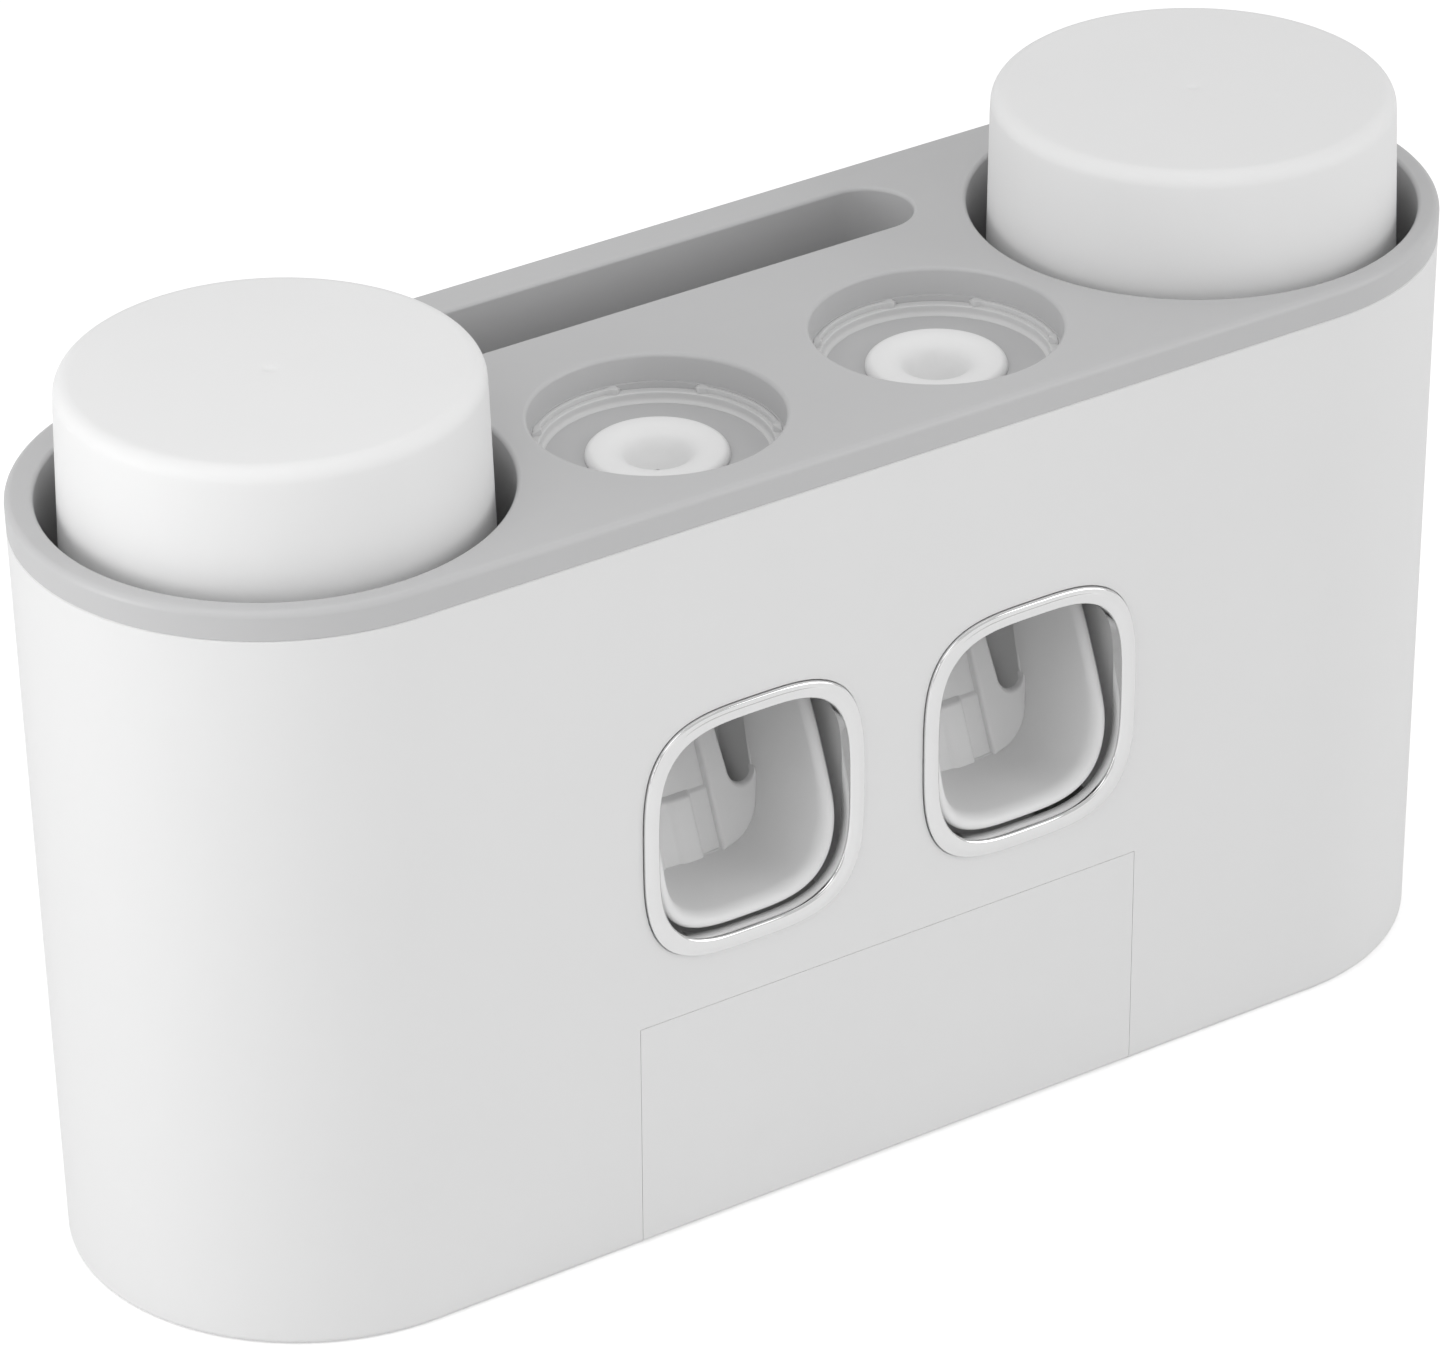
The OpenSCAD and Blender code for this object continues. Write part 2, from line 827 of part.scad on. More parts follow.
// Sealing ring in the groove of a piston
module piston_ring(side) {
    wire_r = (1.4 - 0.04) / 2;
    color([0.15, 0.15, 0.15])
    station(side)
        translate([0, piston_y + piston_len / 2, bore_z])
            rotate([90, 0, 0])
                rotate_extrude()
                    translate([bore_r - 0.02 - wire_r, 0])
                        circle(r = wire_r, $fn = 24);
}

// Front panel of the drawer, flush with the body
module drawer_front() {
    low_z = drawer_gap;
    high_z = drawer_h - drawer_gap;
    boss_x = 30;
    color([0.93, 0.93, 0.93])
    union() {
        rotate([90, 0, 90])
            linear_extrude(height = 2 * front_half, center = true)
                polygon([
                    [front_y(low_z) + 0.6, low_z],
                    [front_y(low_z + 0.6), low_z + 0.6],
                    [front_y(high_z), high_z],
                    [front_y(high_z) + front_t, high_z],
                    [front_y(low_z) + front_t, low_z]
                ]);
        for (sx = [-1, 1], z = [14, 32])
            translate([sx * boss_x, 0, z])
                bar_y(3, front_y(z) + front_t / 2, tray_front_y);
    }
}

// Tray of the drawer with its two runners
module drawer_tray() {
    depth = tray_back_y - tray_front_y;
    color([0.9, 0.9, 0.9])
    difference() {
        union() {
            translate([-tray_half, tray_front_y, tray_low_z])
                cube([2 * tray_half, depth, tray_top_z - tray_low_z]);
            translate([-tray_half - runner_out, tray_front_y + 2, runner_z])
                cube([2 * (tray_half + runner_out), depth - 2, runner_h]);
        }
        translate([-tray_half + tray_wall, tray_front_y + tray_wall, tray_low_z + tray_wall])
            cube([2 * (tray_half - tray_wall), depth - 2 * tray_wall, tray_top_z]);
    }
}

// Rails on the base plate that guide the drawer
module drawer_rails() {
    length = tray_back_y - tray_front_y;
    inner = tray_half + rail_gap;
    color([0.86, 0.86, 0.86])
    difference() {
        for (side = [-1, 1])
            translate([side * (inner + rail_w / 2) - rail_w / 2, tray_front_y + 1, base_top])
                cube([rail_w, length + 3, rail_h]);
        translate([-inner - runner_out, tray_front_y - 1, runner_z - rail_gap])
            cube([2 * (inner + runner_out), length + 2, runner_h + 2 * rail_gap]);
    }
}

housing();
deck();
base_plate();
cup(-1);  // cup_left
cup(1);  // cup_right
window_frame(-1);  // window_frame_left
window_frame(1);  // window_frame_right
tube_ring(-1);  // tube_ring_left
tube_ring(1);  // tube_ring_right
tube_seal(-1);  // tube_seal_left
tube_seal(1);  // tube_seal_right
pump_body(-1);  // pump_body_left
pump_body(1);  // pump_body_right
inlet_valve(-1);  // inlet_valve_left
inlet_valve(1);  // inlet_valve_right
outlet_valve(-1);  // outlet_valve_left
outlet_valve(1);  // outlet_valve_right
lever(-1);  // lever_left
lever(1);  // lever_right
lever_pin(-1);  // lever_pin_left
lever_pin(1);  // lever_pin_right
lever_spring(-1);  // lever_spring_left
lever_spring(1);  // lever_spring_right
piston(-1);  // piston_left
piston(1);  // piston_right
piston_ring(-1);  // piston_ring_left
piston_ring(1);  // piston_ring_right
drawer_front();
drawer_tray();
drawer_rails();
base_screws();
pump_screws();
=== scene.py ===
"""Looks of a bathroom toothpaste dispenser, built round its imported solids.

Every surface is worked out from named sizes in metres, in the row frame:
X along the length, Y towards the wall, Z up.
"""

import math

import bmesh
import bpy
import numpy as np
from bpy.props import FloatProperty, FloatVectorProperty, IntProperty, PointerProperty
from mathutils import Matrix, Vector
from mathutils.geometry import delaunay_2d_cdt
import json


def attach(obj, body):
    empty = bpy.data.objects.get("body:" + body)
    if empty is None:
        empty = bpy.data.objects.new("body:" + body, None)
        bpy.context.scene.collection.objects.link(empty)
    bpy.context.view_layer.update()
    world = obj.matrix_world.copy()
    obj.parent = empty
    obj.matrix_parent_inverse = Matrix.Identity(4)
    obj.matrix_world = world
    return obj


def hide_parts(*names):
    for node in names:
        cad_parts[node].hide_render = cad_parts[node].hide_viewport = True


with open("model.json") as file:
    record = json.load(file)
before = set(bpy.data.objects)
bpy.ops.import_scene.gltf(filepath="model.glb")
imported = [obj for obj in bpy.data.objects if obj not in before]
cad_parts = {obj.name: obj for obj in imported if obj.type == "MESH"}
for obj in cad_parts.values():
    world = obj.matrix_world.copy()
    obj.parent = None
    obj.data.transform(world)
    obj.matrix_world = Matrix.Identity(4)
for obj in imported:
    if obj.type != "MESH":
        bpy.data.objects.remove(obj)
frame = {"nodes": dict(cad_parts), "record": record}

bl_info = {
    "name": "Toothpaste Dispenser",
    "version": (1, 0, 0),
    "blender": (4, 5, 0),
    "location": "View3D > Sidebar > Dispenser",
    "description": "Builds the looks of a two-cup toothpaste dispenser",
    "category": "Add Mesh",
}

SIDES = (("left", -1), ("right", 1))

# Points nearer than the first distance are merged, and an edge shorter than the second goes.
MEETING_POINTS = 2e-6
SHORTEST_EDGE = 1e-7
WHITE = (1.0, 1.0, 1.0, 1.0)


def length(name, description, default):
    """A length property in metres."""
    return FloatProperty(name=name, description=description, default=default, unit="LENGTH", precision=5)


def angle(name, description, degrees):
    """An angle property, written in degrees and kept in radians."""
    return FloatProperty(name=name, description=description, default=math.radians(degrees), subtype="ANGLE")


def ratio(name, description, default):
    """A property without a unit."""
    return FloatProperty(name=name, description=description, default=default)


def colour(name, description, *default):
    """A colour property, from its red, green and blue or from one level of grey."""
    default = default if len(default) == 3 else default * 3
    return FloatVectorProperty(name=name, description=description, default=default, subtype="COLOR",
                               min=0.0, max=1.0)


class DispenserSizes(bpy.types.PropertyGroup):
    """Sizes that the surfaces are worked out from."""

    half_length: length("Half length", "Half of the body length at the deck", 0.1441)
    end_radius: length("End radius", "Radius of the round ends at the deck", 0.0471)
    height: length("Height", "Height of the body with its deck", 0.150)
    draft: length("Draft", "How far each side draws in towards the underside", 0.00264)
    band: length("Band", "Height of the deck's band", 0.0057)
    rim_chamfer: length("Rim chamfer", "Chamfer round the top edge of the shell", 0.00025)
    cup_x: length("Cup distance", "Distance from the middle to each cup", 0.098)
    cup_y: length("Cup setback", "Where the cups stand, front to back", -0.00105)
    cup_radius: length("Cup radius", "Radius of a cup at its base", 0.0372)
    cup_top: length("Cup top", "Height of a parked cup's base", 0.1723)
    cup_height: length("Cup height", "Height of a cup", 0.100)
    cup_wall: length("Cup wall", "Thickness of a cup wall", 0.0018)
    cup_slope: ratio("Cup slope", "Widening of a cup for each metre of height", 0.0237)
    station_x: length("Station distance", "From the middle to each socket and window", 0.0298)
    socket_y: length("Socket setback", "Where the sockets stand, front to back", -0.0166)
    socket_floor: length("Socket floor", "Height of a socket's floor", 0.1415)
    window_z: length("Window height", "Height of the middle of a window", 0.0819)
    window_half_w: length("Window half width", "Half of the width over a window frame", 0.0233)
    window_half_h: length("Window half height", "Half of the height over a window frame", 0.0251)
    window_square: ratio("Window squareness", "Squareness of a window, 2 is an ellipse", 3.4)
    frame_width: length("Frame width", "Width of a window frame", 0.00316)
    groove: length("Groove", "Width of the groove round a window frame", 0.00016)
    groove_depth: length("Groove depth", "Depth of the groove round a window frame", 0.0006)
    deck_thickness: length("Deck thickness", "Thickness of the deck plate", 0.0024)
    deck_edge: length("Deck edge", "Rounding of the edges of deck and underside", 0.0014)
    lip: length("Lip", "Rounding of the lips of wells, sockets and slot", 0.0008)
    wall: length("Wall", "Thickness of the body walls", 0.0022)
    well_radius: length("Well radius", "Radius of a cup well at the deck", 0.0416)
    well_draft: length("Well draft", "How far a well draws in towards its floor", 0.0012)
    well_floor: length("Well floor", "Height of a well's floor", 0.072)
    socket_radius: length("Socket radius", "Radius of a tube socket", 0.0228)
    slot_length: length("Slot length", "Length of the rear slot", 0.1098)
    slot_width: length("Slot width", "Width of the rear slot", 0.0176)
    slot_y: length("Slot setback", "Where the rear slot lies, front to back", 0.02955)
    slot_floor: length("Slot floor", "Height of the rear slot's floor", 0.054)
    slot_wall: length("Slot wall", "Thickness of the rear slot's wall", 0.0015)
    drawer_width: length("Drawer width", "Width of the drawer opening", 0.1085)
    drawer_height: length("Drawer height", "Height of the drawer opening", 0.04605)
    keyhole_spacing: length("Keyhole spacing", "Distance between the keyholes in the back", 0.120)
    keyhole_z: length("Keyhole height", "Height of the keyholes", 0.118)
    keyhole_radius: length("Keyhole radius", "Radius of a keyhole", 0.0042)
    lever_gap: length("Lever gap", "Gap beside a lever in its frame", 0.00095)
    lever_gap_low: length("Lever gap below", "Gap below a lever in its frame", 0.00045)
    lever_lean: angle("Lever lean", "Lean of a resting lever", 22.4)
    pivot_y: length("Hinge setback", "Where the hinge lines lie, front to back", -0.0190014)
    pivot_z: length("Hinge height", "Height of the hinge lines", 0.106)
    back_depth: length("Back depth", "Depth of a lever's back behind its hinge line", 0.0092)
    slit_x: length("Slit distance", "From a lever's middle to each slit", 0.0133)
    slit_width: length("Slit width", "Width of a slit", 0.0054)
    slit_foot: length("Slit foot", "Height of the round foot of a slit", 0.0759)
    ledge: length("Ledge", "Reach of the foot of a lever's wall", 0.0031)
    lever_wall: length("Lever wall", "Thickness of a lever's wall beside a slit", 0.0022)
    band_half: length("Band half width", "Half of the width of a lever's sunk band", 0.0061)
    step_z: length("Step height", "Height of the step across a lever's band", 0.0743)
    back_foot: length("Back foot", "Height of the foot of a lever's band", 0.0628)
    back_top: length("Back top", "Height of the top of a lever's back", 0.095)
    back_thickness: length("Back thickness", "Thickness of a lever's back", 0.0026)
    lug_angle: angle("Lug angle", "Angle over a lug of the tube ring", 62.0)
    lug_gap: angle("Lug gap", "Angle of the gap between two lugs", 34.0)
    lug_turn: angle("Lug turn", "Turn of the gap between two lugs", 57.0)
    steps: IntProperty(name="Steps", description="Points round a full circle", default=192)


class DispenserColours(bpy.types.PropertyGroup):
    """Colours of the finishes, each named as its material slot."""

    shell_white: colour("Shell white", "Glossy white of the shell", 0.865)
    deck_grey: colour("Deck grey", "Light grey of the deck", 0.548, 0.548, 0.552)
    cup_white: colour("Cup white", "Dull white of the cups", 0.815)
    base_white: colour("Base white", "White of the base plate", 0.74)
    ring_grey: colour("Ring grey", "Grey of the tube rings", 0.66)
    lever_grey: colour("Lever grey", "Pale grey of the levers", 0.92)
    pump_white: colour("Pump white", "White of the pump parts", 0.78)
    drawer_white: colour("Drawer white", "White of the drawer", 0.78)
    seal_white: colour("Seal white", "White of the soft tube seals", 0.86)
    valve_soft: colour("Valve soft", "Milky silicone of the valves", 0.78, 0.77, 0.73)
    ring_rubber: colour("Ring rubber", "Black rubber of the piston rings", 0.02)
    frame_chrome: colour("Frame chrome", "Bright plating of the window frames", 0.83)
    steel: colour("Steel", "Steel of the pins and springs", 0.62, 0.63, 0.65)
    screw_steel: colour("Screw steel", "Steel of the screws", 0.55, 0.56, 0.58)


def sizes():
    """The sizes of the current scene."""
    return bpy.context.scene.dispenser_sizes


def radius_at(s, z):
    """End radius of the body at height z: it draws in by the draft, in step with the way down."""
    return s.end_radius - s.draft * (s.height - z) / s.height


def front_tilt(s):
    """Lean of the front face from the upright: the angle whose tangent is the draft over the height."""
    return math.atan(s.draft / s.height)


def full_turn(steps):
    """Angles round a full circle."""
    return np.linspace(0.0, 2 * np.pi, steps, endpoint=False)


def lathe_loops(profile, x, y, steps):
    """Rings of a turned shape: a profile of radius and height, turned about an upright line at x, y."""
    turn = full_turn(steps)
    r, z = np.asarray(profile, float).T[:, :, None]
    return np.stack(np.broadcast_arrays(x + r * np.cos(turn), y + r * np.sin(turn), z), axis=2)


def circle(radius, x, y, steps):
    """Outline of a circle: its middle plus the radius times the cosine and the sine of the turn."""
    turn = full_turn(steps)
    return np.column_stack([x + radius * np.cos(turn), y + radius * np.sin(turn)])


def stadium(radius, half, y, steps):
    """Outline of a stadium: half circles about x = half and x = -half, joined by straight sides."""
    turn = np.linspace(-np.pi / 2, np.pi / 2, steps // 2 + 1)
    right = np.column_stack([half + radius * np.cos(turn), y + radius * np.sin(turn)])
    left = np.column_stack([-half - radius * np.cos(turn), y - radius * np.sin(turn)])
    return np.concatenate([right, left])


def at_height(z):
    """Lifts flat points to a height."""
    return lambda points: np.column_stack([points, np.full(len(points), z)])


def body_loop(s, inset, z):
    """Outline of the body at a height, drawn in by an inset."""
    half = s.half_length - s.end_radius
    return at_height(z)(stadium(radius_at(s, z) - inset, half, 0.0, s.steps))


def lip(radius, edge, top, count=6):
    """Profile of a rounded lip: a quarter circle from the flat top down into a hole of that radius."""
    turn = np.linspace(0.0, np.pi / 2, count)
    return np.column_stack([radius + edge * (1 - np.sin(turn)), top - edge * (1 - np.cos(turn))])


def rounded_square(half_w, half_h, power, turn):
    """Outline of a rounded square: its half sizes times a signed power of the cosine and of the sine."""
    c, d = np.cos(turn), np.sin(turn)
    p = 2.0 / power
    return half_w * np.sign(c) * np.abs(c) ** p, half_h * np.sign(d) * np.abs(d) ** p


def arc(x, z, r, start, end, count):
    """Points of an arc between two angles in degrees: the radius times cosine and sine, about x, z."""
    a = np.radians(np.linspace(start, end, count))
    return np.column_stack([x + r * np.cos(a), z + r * np.sin(a)])


def between_loops(loops, closed=True, wrap=False):
    """Patch of four-sided faces between outlines of equal counts.

    It closes round each outline where closed, and from the last outline to the first where wrapped.
    """
    points = np.asarray(loops, float)
    n, m = points.shape[:2]
    index = np.arange(n * m).reshape(n, m)
    rows = np.arange(n if wrap else n - 1)
    columns = np.arange(m if closed else m - 1)
    a, b = np.meshgrid(rows, columns, indexing="ij")
    c, d = (a + 1) % n, (b + 1) % m
    faces = np.stack([index[a, b], index[a, d], index[c, d], index[c, b]], axis=2).reshape(-1, 4)
    return points.reshape(-1, 3), faces


def bar(rows, wrap=True):
    """Bar: rows of equal counts joined all round where wrapped, with a flat face over each end."""
    rows = np.asarray(rows, float)
    points, faces = between_loops(rows, closed=False, wrap=wrap)
    count, across = rows.shape[:2]
    ends = [(np.arange(count) * across + side).tolist() for side in (0, across - 1)]
    return points, [*faces.tolist(), *ends]


def inside(points, loop):
    """Whether points lie in an outline, by how often a line to the right crosses it."""
    x0, y0 = loop[:, 0], loop[:, 1]
    x1, y1 = np.roll(x0, -1), np.roll(y0, -1)
    px, py = points[:, 0:1], points[:, 1:2]
    spans = (y0 > py) != (y1 > py)
    rise = np.where(y1 == y0, 1.0, y1 - y0)
    crosses = spans & (px < x0 + (py - y0) * (x1 - x0) / rise)
    return crosses.sum(axis=1) % 2 == 1


def plate(loops, lift):
    """Flat face between outlines: a Delaunay net over their points, less what lies outside or in a hole."""
    points = np.concatenate(loops)
    edges, start = [], 0
    for loop in loops:
        index = np.arange(start, start + len(loop))
        edges += np.column_stack([index, np.roll(index, -1)]).tolist()
        start += len(loop)
    in_millimetres = [Vector(point) for point in points * 1000.0]
    made = delaunay_2d_cdt(in_millimetres, edges, [], 0, 1e-6)
    strays = sum(not ids for ids in made[3])
    if strays:
        raise RuntimeError(f"outlines cross at {strays} points")
    first = np.array([ids[0] for ids in made[3]])
    faces = first[np.array(made[2])]
    middle = points[faces].mean(axis=1)
    keep = sum(inside(middle, loop).astype(int) for loop in loops) % 2 == 1
    return lift(points), faces[keep]


def numbered(rows, start):
    """Faces with a start added to their point numbers."""
    if isinstance(rows, np.ndarray):
        return (rows + start).tolist()
    return [[start + k for k in row] for row in rows]


def make_skin(node, patches, body, slot, sharp=32.0):
    """One mesh from patches, shown in place of a node: points that meet are merged and faces turn outward."""
    name = f"{node}_skin"
    points = np.concatenate([verts for verts, _ in patches])
    starts = np.cumsum([0] + [len(verts) for verts, _ in patches]).tolist()
    faces = []
    for (_, rows), start in zip(patches, starts):
        faces += numbered(rows, start)
    mesh = bpy.data.meshes.new(name)
    mesh.from_pydata(points.tolist(), [], faces)
    work = bmesh.new()
    work.from_mesh(mesh)
    bmesh.ops.remove_doubles(work, verts=work.verts, dist=MEETING_POINTS)
    bmesh.ops.dissolve_degenerate(work, edges=work.edges, dist=SHORTEST_EDGE)
    bmesh.ops.recalc_face_normals(work, faces=work.faces)
    work.to_mesh(mesh)
    work.free()
    mesh.shade_smooth()
    mesh.set_sharp_from_angle(angle=math.radians(sharp))
    mesh.materials.append(material(slot))
    made = bpy.data.objects.new(name, mesh)
    bpy.context.scene.collection.objects.link(made)
    weighted = made.modifiers.new("flat_faces_rule", "WEIGHTED_NORMAL")
    weighted.keep_sharp = True
    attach(made, body)
    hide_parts(node)
    return made


class Shader:
    """Short way to write a material's nodes."""

    def __init__(self, name):
        self.material = bpy.data.materials.new(f"{name}_look")
        self.material.use_nodes = True
        self.tree = self.material.node_tree
        self.tree.nodes.clear()
        self.surface = self.node("ShaderNodeBsdfPrincipled")
        self.out = self.node("ShaderNodeOutputMaterial", {"Surface": self.surface.outputs[0]})
        self.coords = self.node("ShaderNodeTexCoord").outputs["Object"]

    def node(self, kind, inputs=(), **settings):
        """A new node with its settings, and its inputs filled by name or number."""
        made = self.tree.nodes.new(kind)
        for key, value in settings.items():
            setattr(made, key, value)
        for key, value in dict(inputs).items():
            self.fill(made.inputs[key], value)
        return made

    def fill(self, place, value):
        """Joins an output to an input, or writes a plain value there."""
        if isinstance(value, bpy.types.NodeSocket):
            self.tree.links.new(value, place)
        else:
            place.default_value = value

    def dress(self, **inputs):
        """Fills inputs of the surface, named with low lines for spaces."""
        for key, value in inputs.items():
            self.fill(self.surface.inputs[key.replace("_", " ")], value)

    def noise(self, scale, detail=2.0, roughness=0.5, stretch=None):
        """Noise in object space, stretched where asked."""
        place = self.coords
        if stretch:
            place = self.node("ShaderNodeMapping", {"Vector": place, "Scale": stretch}).outputs[0]
        inputs = {"Vector": place, "Scale": scale, "Detail": detail, "Roughness": roughness}
        return self.node("ShaderNodeTexNoise", inputs).outputs["Fac"]

    def spread(self, value, low, high, start=0.3, end=0.7):
        """Maps a value from start..end to low..high."""
        inputs = {"Value": value, "From Min": start, "From Max": end, "To Min": low, "To Max": high}
        return self.node("ShaderNodeMapRange", inputs).outputs["Result"]

    def between(self, value, a, b):
        """Colour between a and b by a value."""
        inputs = {"Factor": value, "A": (*a, 1.0), "B": (*b, 1.0)}
        return self.node("ShaderNodeMix", inputs, data_type="RGBA").outputs["Result"]

    def faded(self, tone, low, high, factor):
        """Painted shade: tone times a factor up to the low height, rising evenly to the full tone at the high
        one.
        """
        height = self.node("ShaderNodeSeparateXYZ", {0: self.coords}).outputs["Z"]
        inputs = {"Factor": 1.0, "A": tone, "B": self.spread(height, factor, 1.0, low, high)}
        return self.node("ShaderNodeMix", inputs, data_type="RGBA", blend_type="MULTIPLY").outputs["Result"]

    def bump(self, value, depth):
        """Adds relief of that depth in metres."""
        made = self.node("ShaderNodeBump", {"Height": value, "Strength": 1.0, "Distance": depth})
        self.dress(Normal=made.outputs[0])

    def combined(self, operation, a, b):
        """Number made from two others by an operation."""
        return self.node("ShaderNodeMath", {0: a, 1: b}, operation=operation).outputs[0]

    def show(self, kind, inputs):
        """Shows a mix of shaders in place of the plain surface."""
        self.fill(self.out.inputs["Surface"], self.node(kind, inputs).outputs[0])


def moulded(name, tint, rough=0.5, grain=0.000004, vary=0.015, soft=0.0, through=0.0, grain_scale=2600.0,
            fade=None):
    """Moulded plastic: slow colour drift, fine grain, uneven sheen, and some light through thin walls.

    Painted funnel shade darkens its colour towards the bottom of a narrow funnel, where shade falls: two
    heights and the factor at the lower one.
    """
    shader = Shader(name)
    low = [c * (1 - vary) for c in tint]
    high = [min(1.0, c * (1 + vary)) for c in tint]
    drift = shader.noise(scale=22.0, detail=4.0, roughness=0.55)
    tone = shader.between(shader.spread(drift, 0.0, 1.0), low, high)
    # Painted shade: the colour darkens towards the bottom of a funnel.
    if fade:
        tone = shader.faded(tone, *fade)
    sheen = shader.noise(scale=95.0, detail=3.0, roughness=0.6, stretch=(1.0, 1.0, 0.35))
    polish = shader.spread(sheen, rough * 0.85, min(1.0, rough * 1.18))
    shader.dress(Base_Color=tone, Roughness=polish, IOR=1.49)
    shader.bump(shader.noise(grain_scale), grain)
    if through:
        passed = shader.node("ShaderNodeBsdfTranslucent", {"Color": (*tint, 1.0)}).outputs[0]
        shader.show("ShaderNodeMixShader", {0: through, 1: shader.surface.outputs[0], 2: passed})
    if soft:
        shader.dress(Subsurface_Weight=soft, Subsurface_Radius=(1.0, 0.96, 0.92), Subsurface_Scale=0.003)
    return shader.material


def metal(name, tint, rough, grain=0.000002, stretch=(1.0, 1.0, 1.0), scale=900.0):
    """Metal: uneven polish with faint drawn lines."""
    shader = Shader(name)
    dull = [c * 0.94 for c in tint]
    tone = shader.between(shader.noise(scale=60.0, detail=3.0), dull, tint)
    lines = shader.noise(scale, stretch=stretch)
    shader.dress(Base_Color=tone, Roughness=shader.spread(lines, rough * 0.7, rough * 1.4), Metallic=1.0)
    shader.bump(lines, grain)
    return shader.material


FINISHES = {
    "shell_white": (moulded, {"rough": 0.34, "vary": 0.006, "through": 0.1}),
    "deck_grey": (moulded, {"rough": 0.38, "vary": 0.012, "through": 0.04}),
    "cup_white": (moulded, {"rough": 0.6, "vary": 0.006, "soft": 0.1}),
    "base_white": (moulded, {}),
    "ring_grey": (moulded, {"rough": 0.34}),
    "lever_grey": (moulded, {"rough": 0.38, "vary": 0.01, "through": 0.1}),
    "pump_white": (moulded, {}),
    "drawer_white": (moulded, {}),
    # Painted shade in the seal's colour, darker down its funnel.
    "seal_white": (moulded, {"grain_scale": 4200.0, "fade": (0.1386, 0.1430, 0.78)}),
    "valve_soft": (moulded, {"rough": 0.55, "soft": 0.3}),
    "ring_rubber": (moulded, {"rough": 0.6}),
    "frame_chrome": (metal, {"rough": 0.05, "grain": 0.0000004, "scale": 300.0}),
    "steel": (metal, {"rough": 0.28, "stretch": (6.0, 1.0, 1.0)}),
    "screw_steel": (metal, {"rough": 0.34}),
}


def material(name):
    """The material of a slot, made once from its finish and the scene's colour for it."""
    made = bpy.data.materials.get(f"{name}_look")
    if made:
        return made
    make, finish = FINISHES[name]
    return make(name, tuple(getattr(bpy.context.scene.dispenser_colours, name)), **finish)


def slot_of(node):
    """The record's material slot of a CAD node."""
    return next(p["material_slot"] for p in frame["record"]["subparts"] if p["node"] == node)


class DISPENSER_OT_solids(bpy.types.Operator):
    """Give every solid carried over from the construction its own material"""

    bl_idname = "dispenser.solids"
    bl_label = "Dress solids"

    def execute(self, context):
        for node, made in frame["nodes"].items():
            made.data.materials.clear()
            made.data.materials.append(material(slot_of(node)))
        return {"FINISHED"}


class DISPENSER_OT_cups(bpy.types.Operator):
    """Make the two parked cups with rounded edges and the small gate mark on each base"""

    bl_idname = "dispenser.cups"
    bl_label = "Cups"

    def execute(self, context):
        s = sizes()
        for side, sign in SIDES:
            loops = lathe_loops(self.profile(s), sign * s.cup_x, s.cup_y, s.steps)
            make_skin(f"cup_{side}", [between_loops(loops)], f"{side}_cup", "cup_white")
        return {"FINISHED"}

    def profile(self, s):
        """Profile of a parked cup: gate mark, base, rounded edge, wall, round mouth, and back up inside."""
        top, edge, mouth_edge = s.cup_top, 0.0030, s.cup_wall / 2
        mouth_z = top - s.cup_height
        mouth_r = s.cup_radius + s.cup_slope * s.cup_height
        inner_r = s.cup_radius - s.cup_wall
        gate_mark = [[0.0, top - 0.00025], [0.0007, top - 0.00022], [0.0011, top - 0.00004], [0.0014, top]]
        return np.concatenate([
            gate_mark,
            np.linspace((0.003, top), (s.cup_radius - edge - 0.001, top), 12),
            arc(s.cup_radius - edge, top - edge, edge, 90, 0, 12),
            np.linspace((s.cup_radius + 0.0001, top - edge - 0.002),
                        (mouth_r - 0.0001, mouth_z + 0.0012), 14),
            arc(mouth_r - mouth_edge, mouth_z + mouth_edge, mouth_edge, 0, -180, 10),
            np.linspace((mouth_r - s.cup_wall, mouth_z + 0.0015), (inner_r, top - 0.006), 10),
            arc(inner_r - edge, top - 0.0052, edge, 0, 90, 8),
            [[0.0, top - 0.0022]],
        ])


class DISPENSER_OT_frames(bpy.types.Operator):
    """Make the two bright window frames by sweeping a rounded section round the window outline"""

    bl_idname = "dispenser.frames"
    bl_label = "Window frames"

    def execute(self, context):
        s = sizes()
        turn = Matrix.Rotation(math.pi / 2 + front_tilt(s), 3, "X")
        for side, sign in SIDES:
            loops = []
            for inset, out in self.section(s):
                x, z = rounded_square(s.window_half_w - inset, s.window_half_h - inset, s.window_square,
                                      full_turn(s.steps))
                loops.append(np.column_stack([x, z, np.full(s.steps, out)]))
            points = np.array(loops) @ np.array(turn).T
            points += (sign * s.station_x, -radius_at(s, s.window_z), s.window_z)
            make_skin(f"window_frame_{side}", [between_loops(points, wrap=True)], "case", "frame_chrome")
        return {"FINISHED"}

    def section(self, s):
        """Section of a frame as inset and height over the front: outer roll, crown, inner roll and skirt."""
        w, deep, ledge, chamfer = s.frame_width, 0.0024, 0.0011, 0.0003
        under = 0.00002 - s.groove_depth
        crown = 0.00080 + 0.00022 * np.sin(np.linspace(0.15, 2.6, 7))
        return np.concatenate([
            arc(0.00045, 0.00035, 0.00045, 180, 90, 7),
            np.column_stack([np.linspace(0.0008, w - 0.0012, 7), crown]),
            arc(w - 0.0007, 0.00015, 0.0007, 75, 0, 7),
            [[w, -0.001], [w, chamfer - deep], [w - chamfer, -deep], [ledge + 0.0001, -deep],
             [ledge, chamfer - deep], [ledge, under], [0.0, under]],
        ])


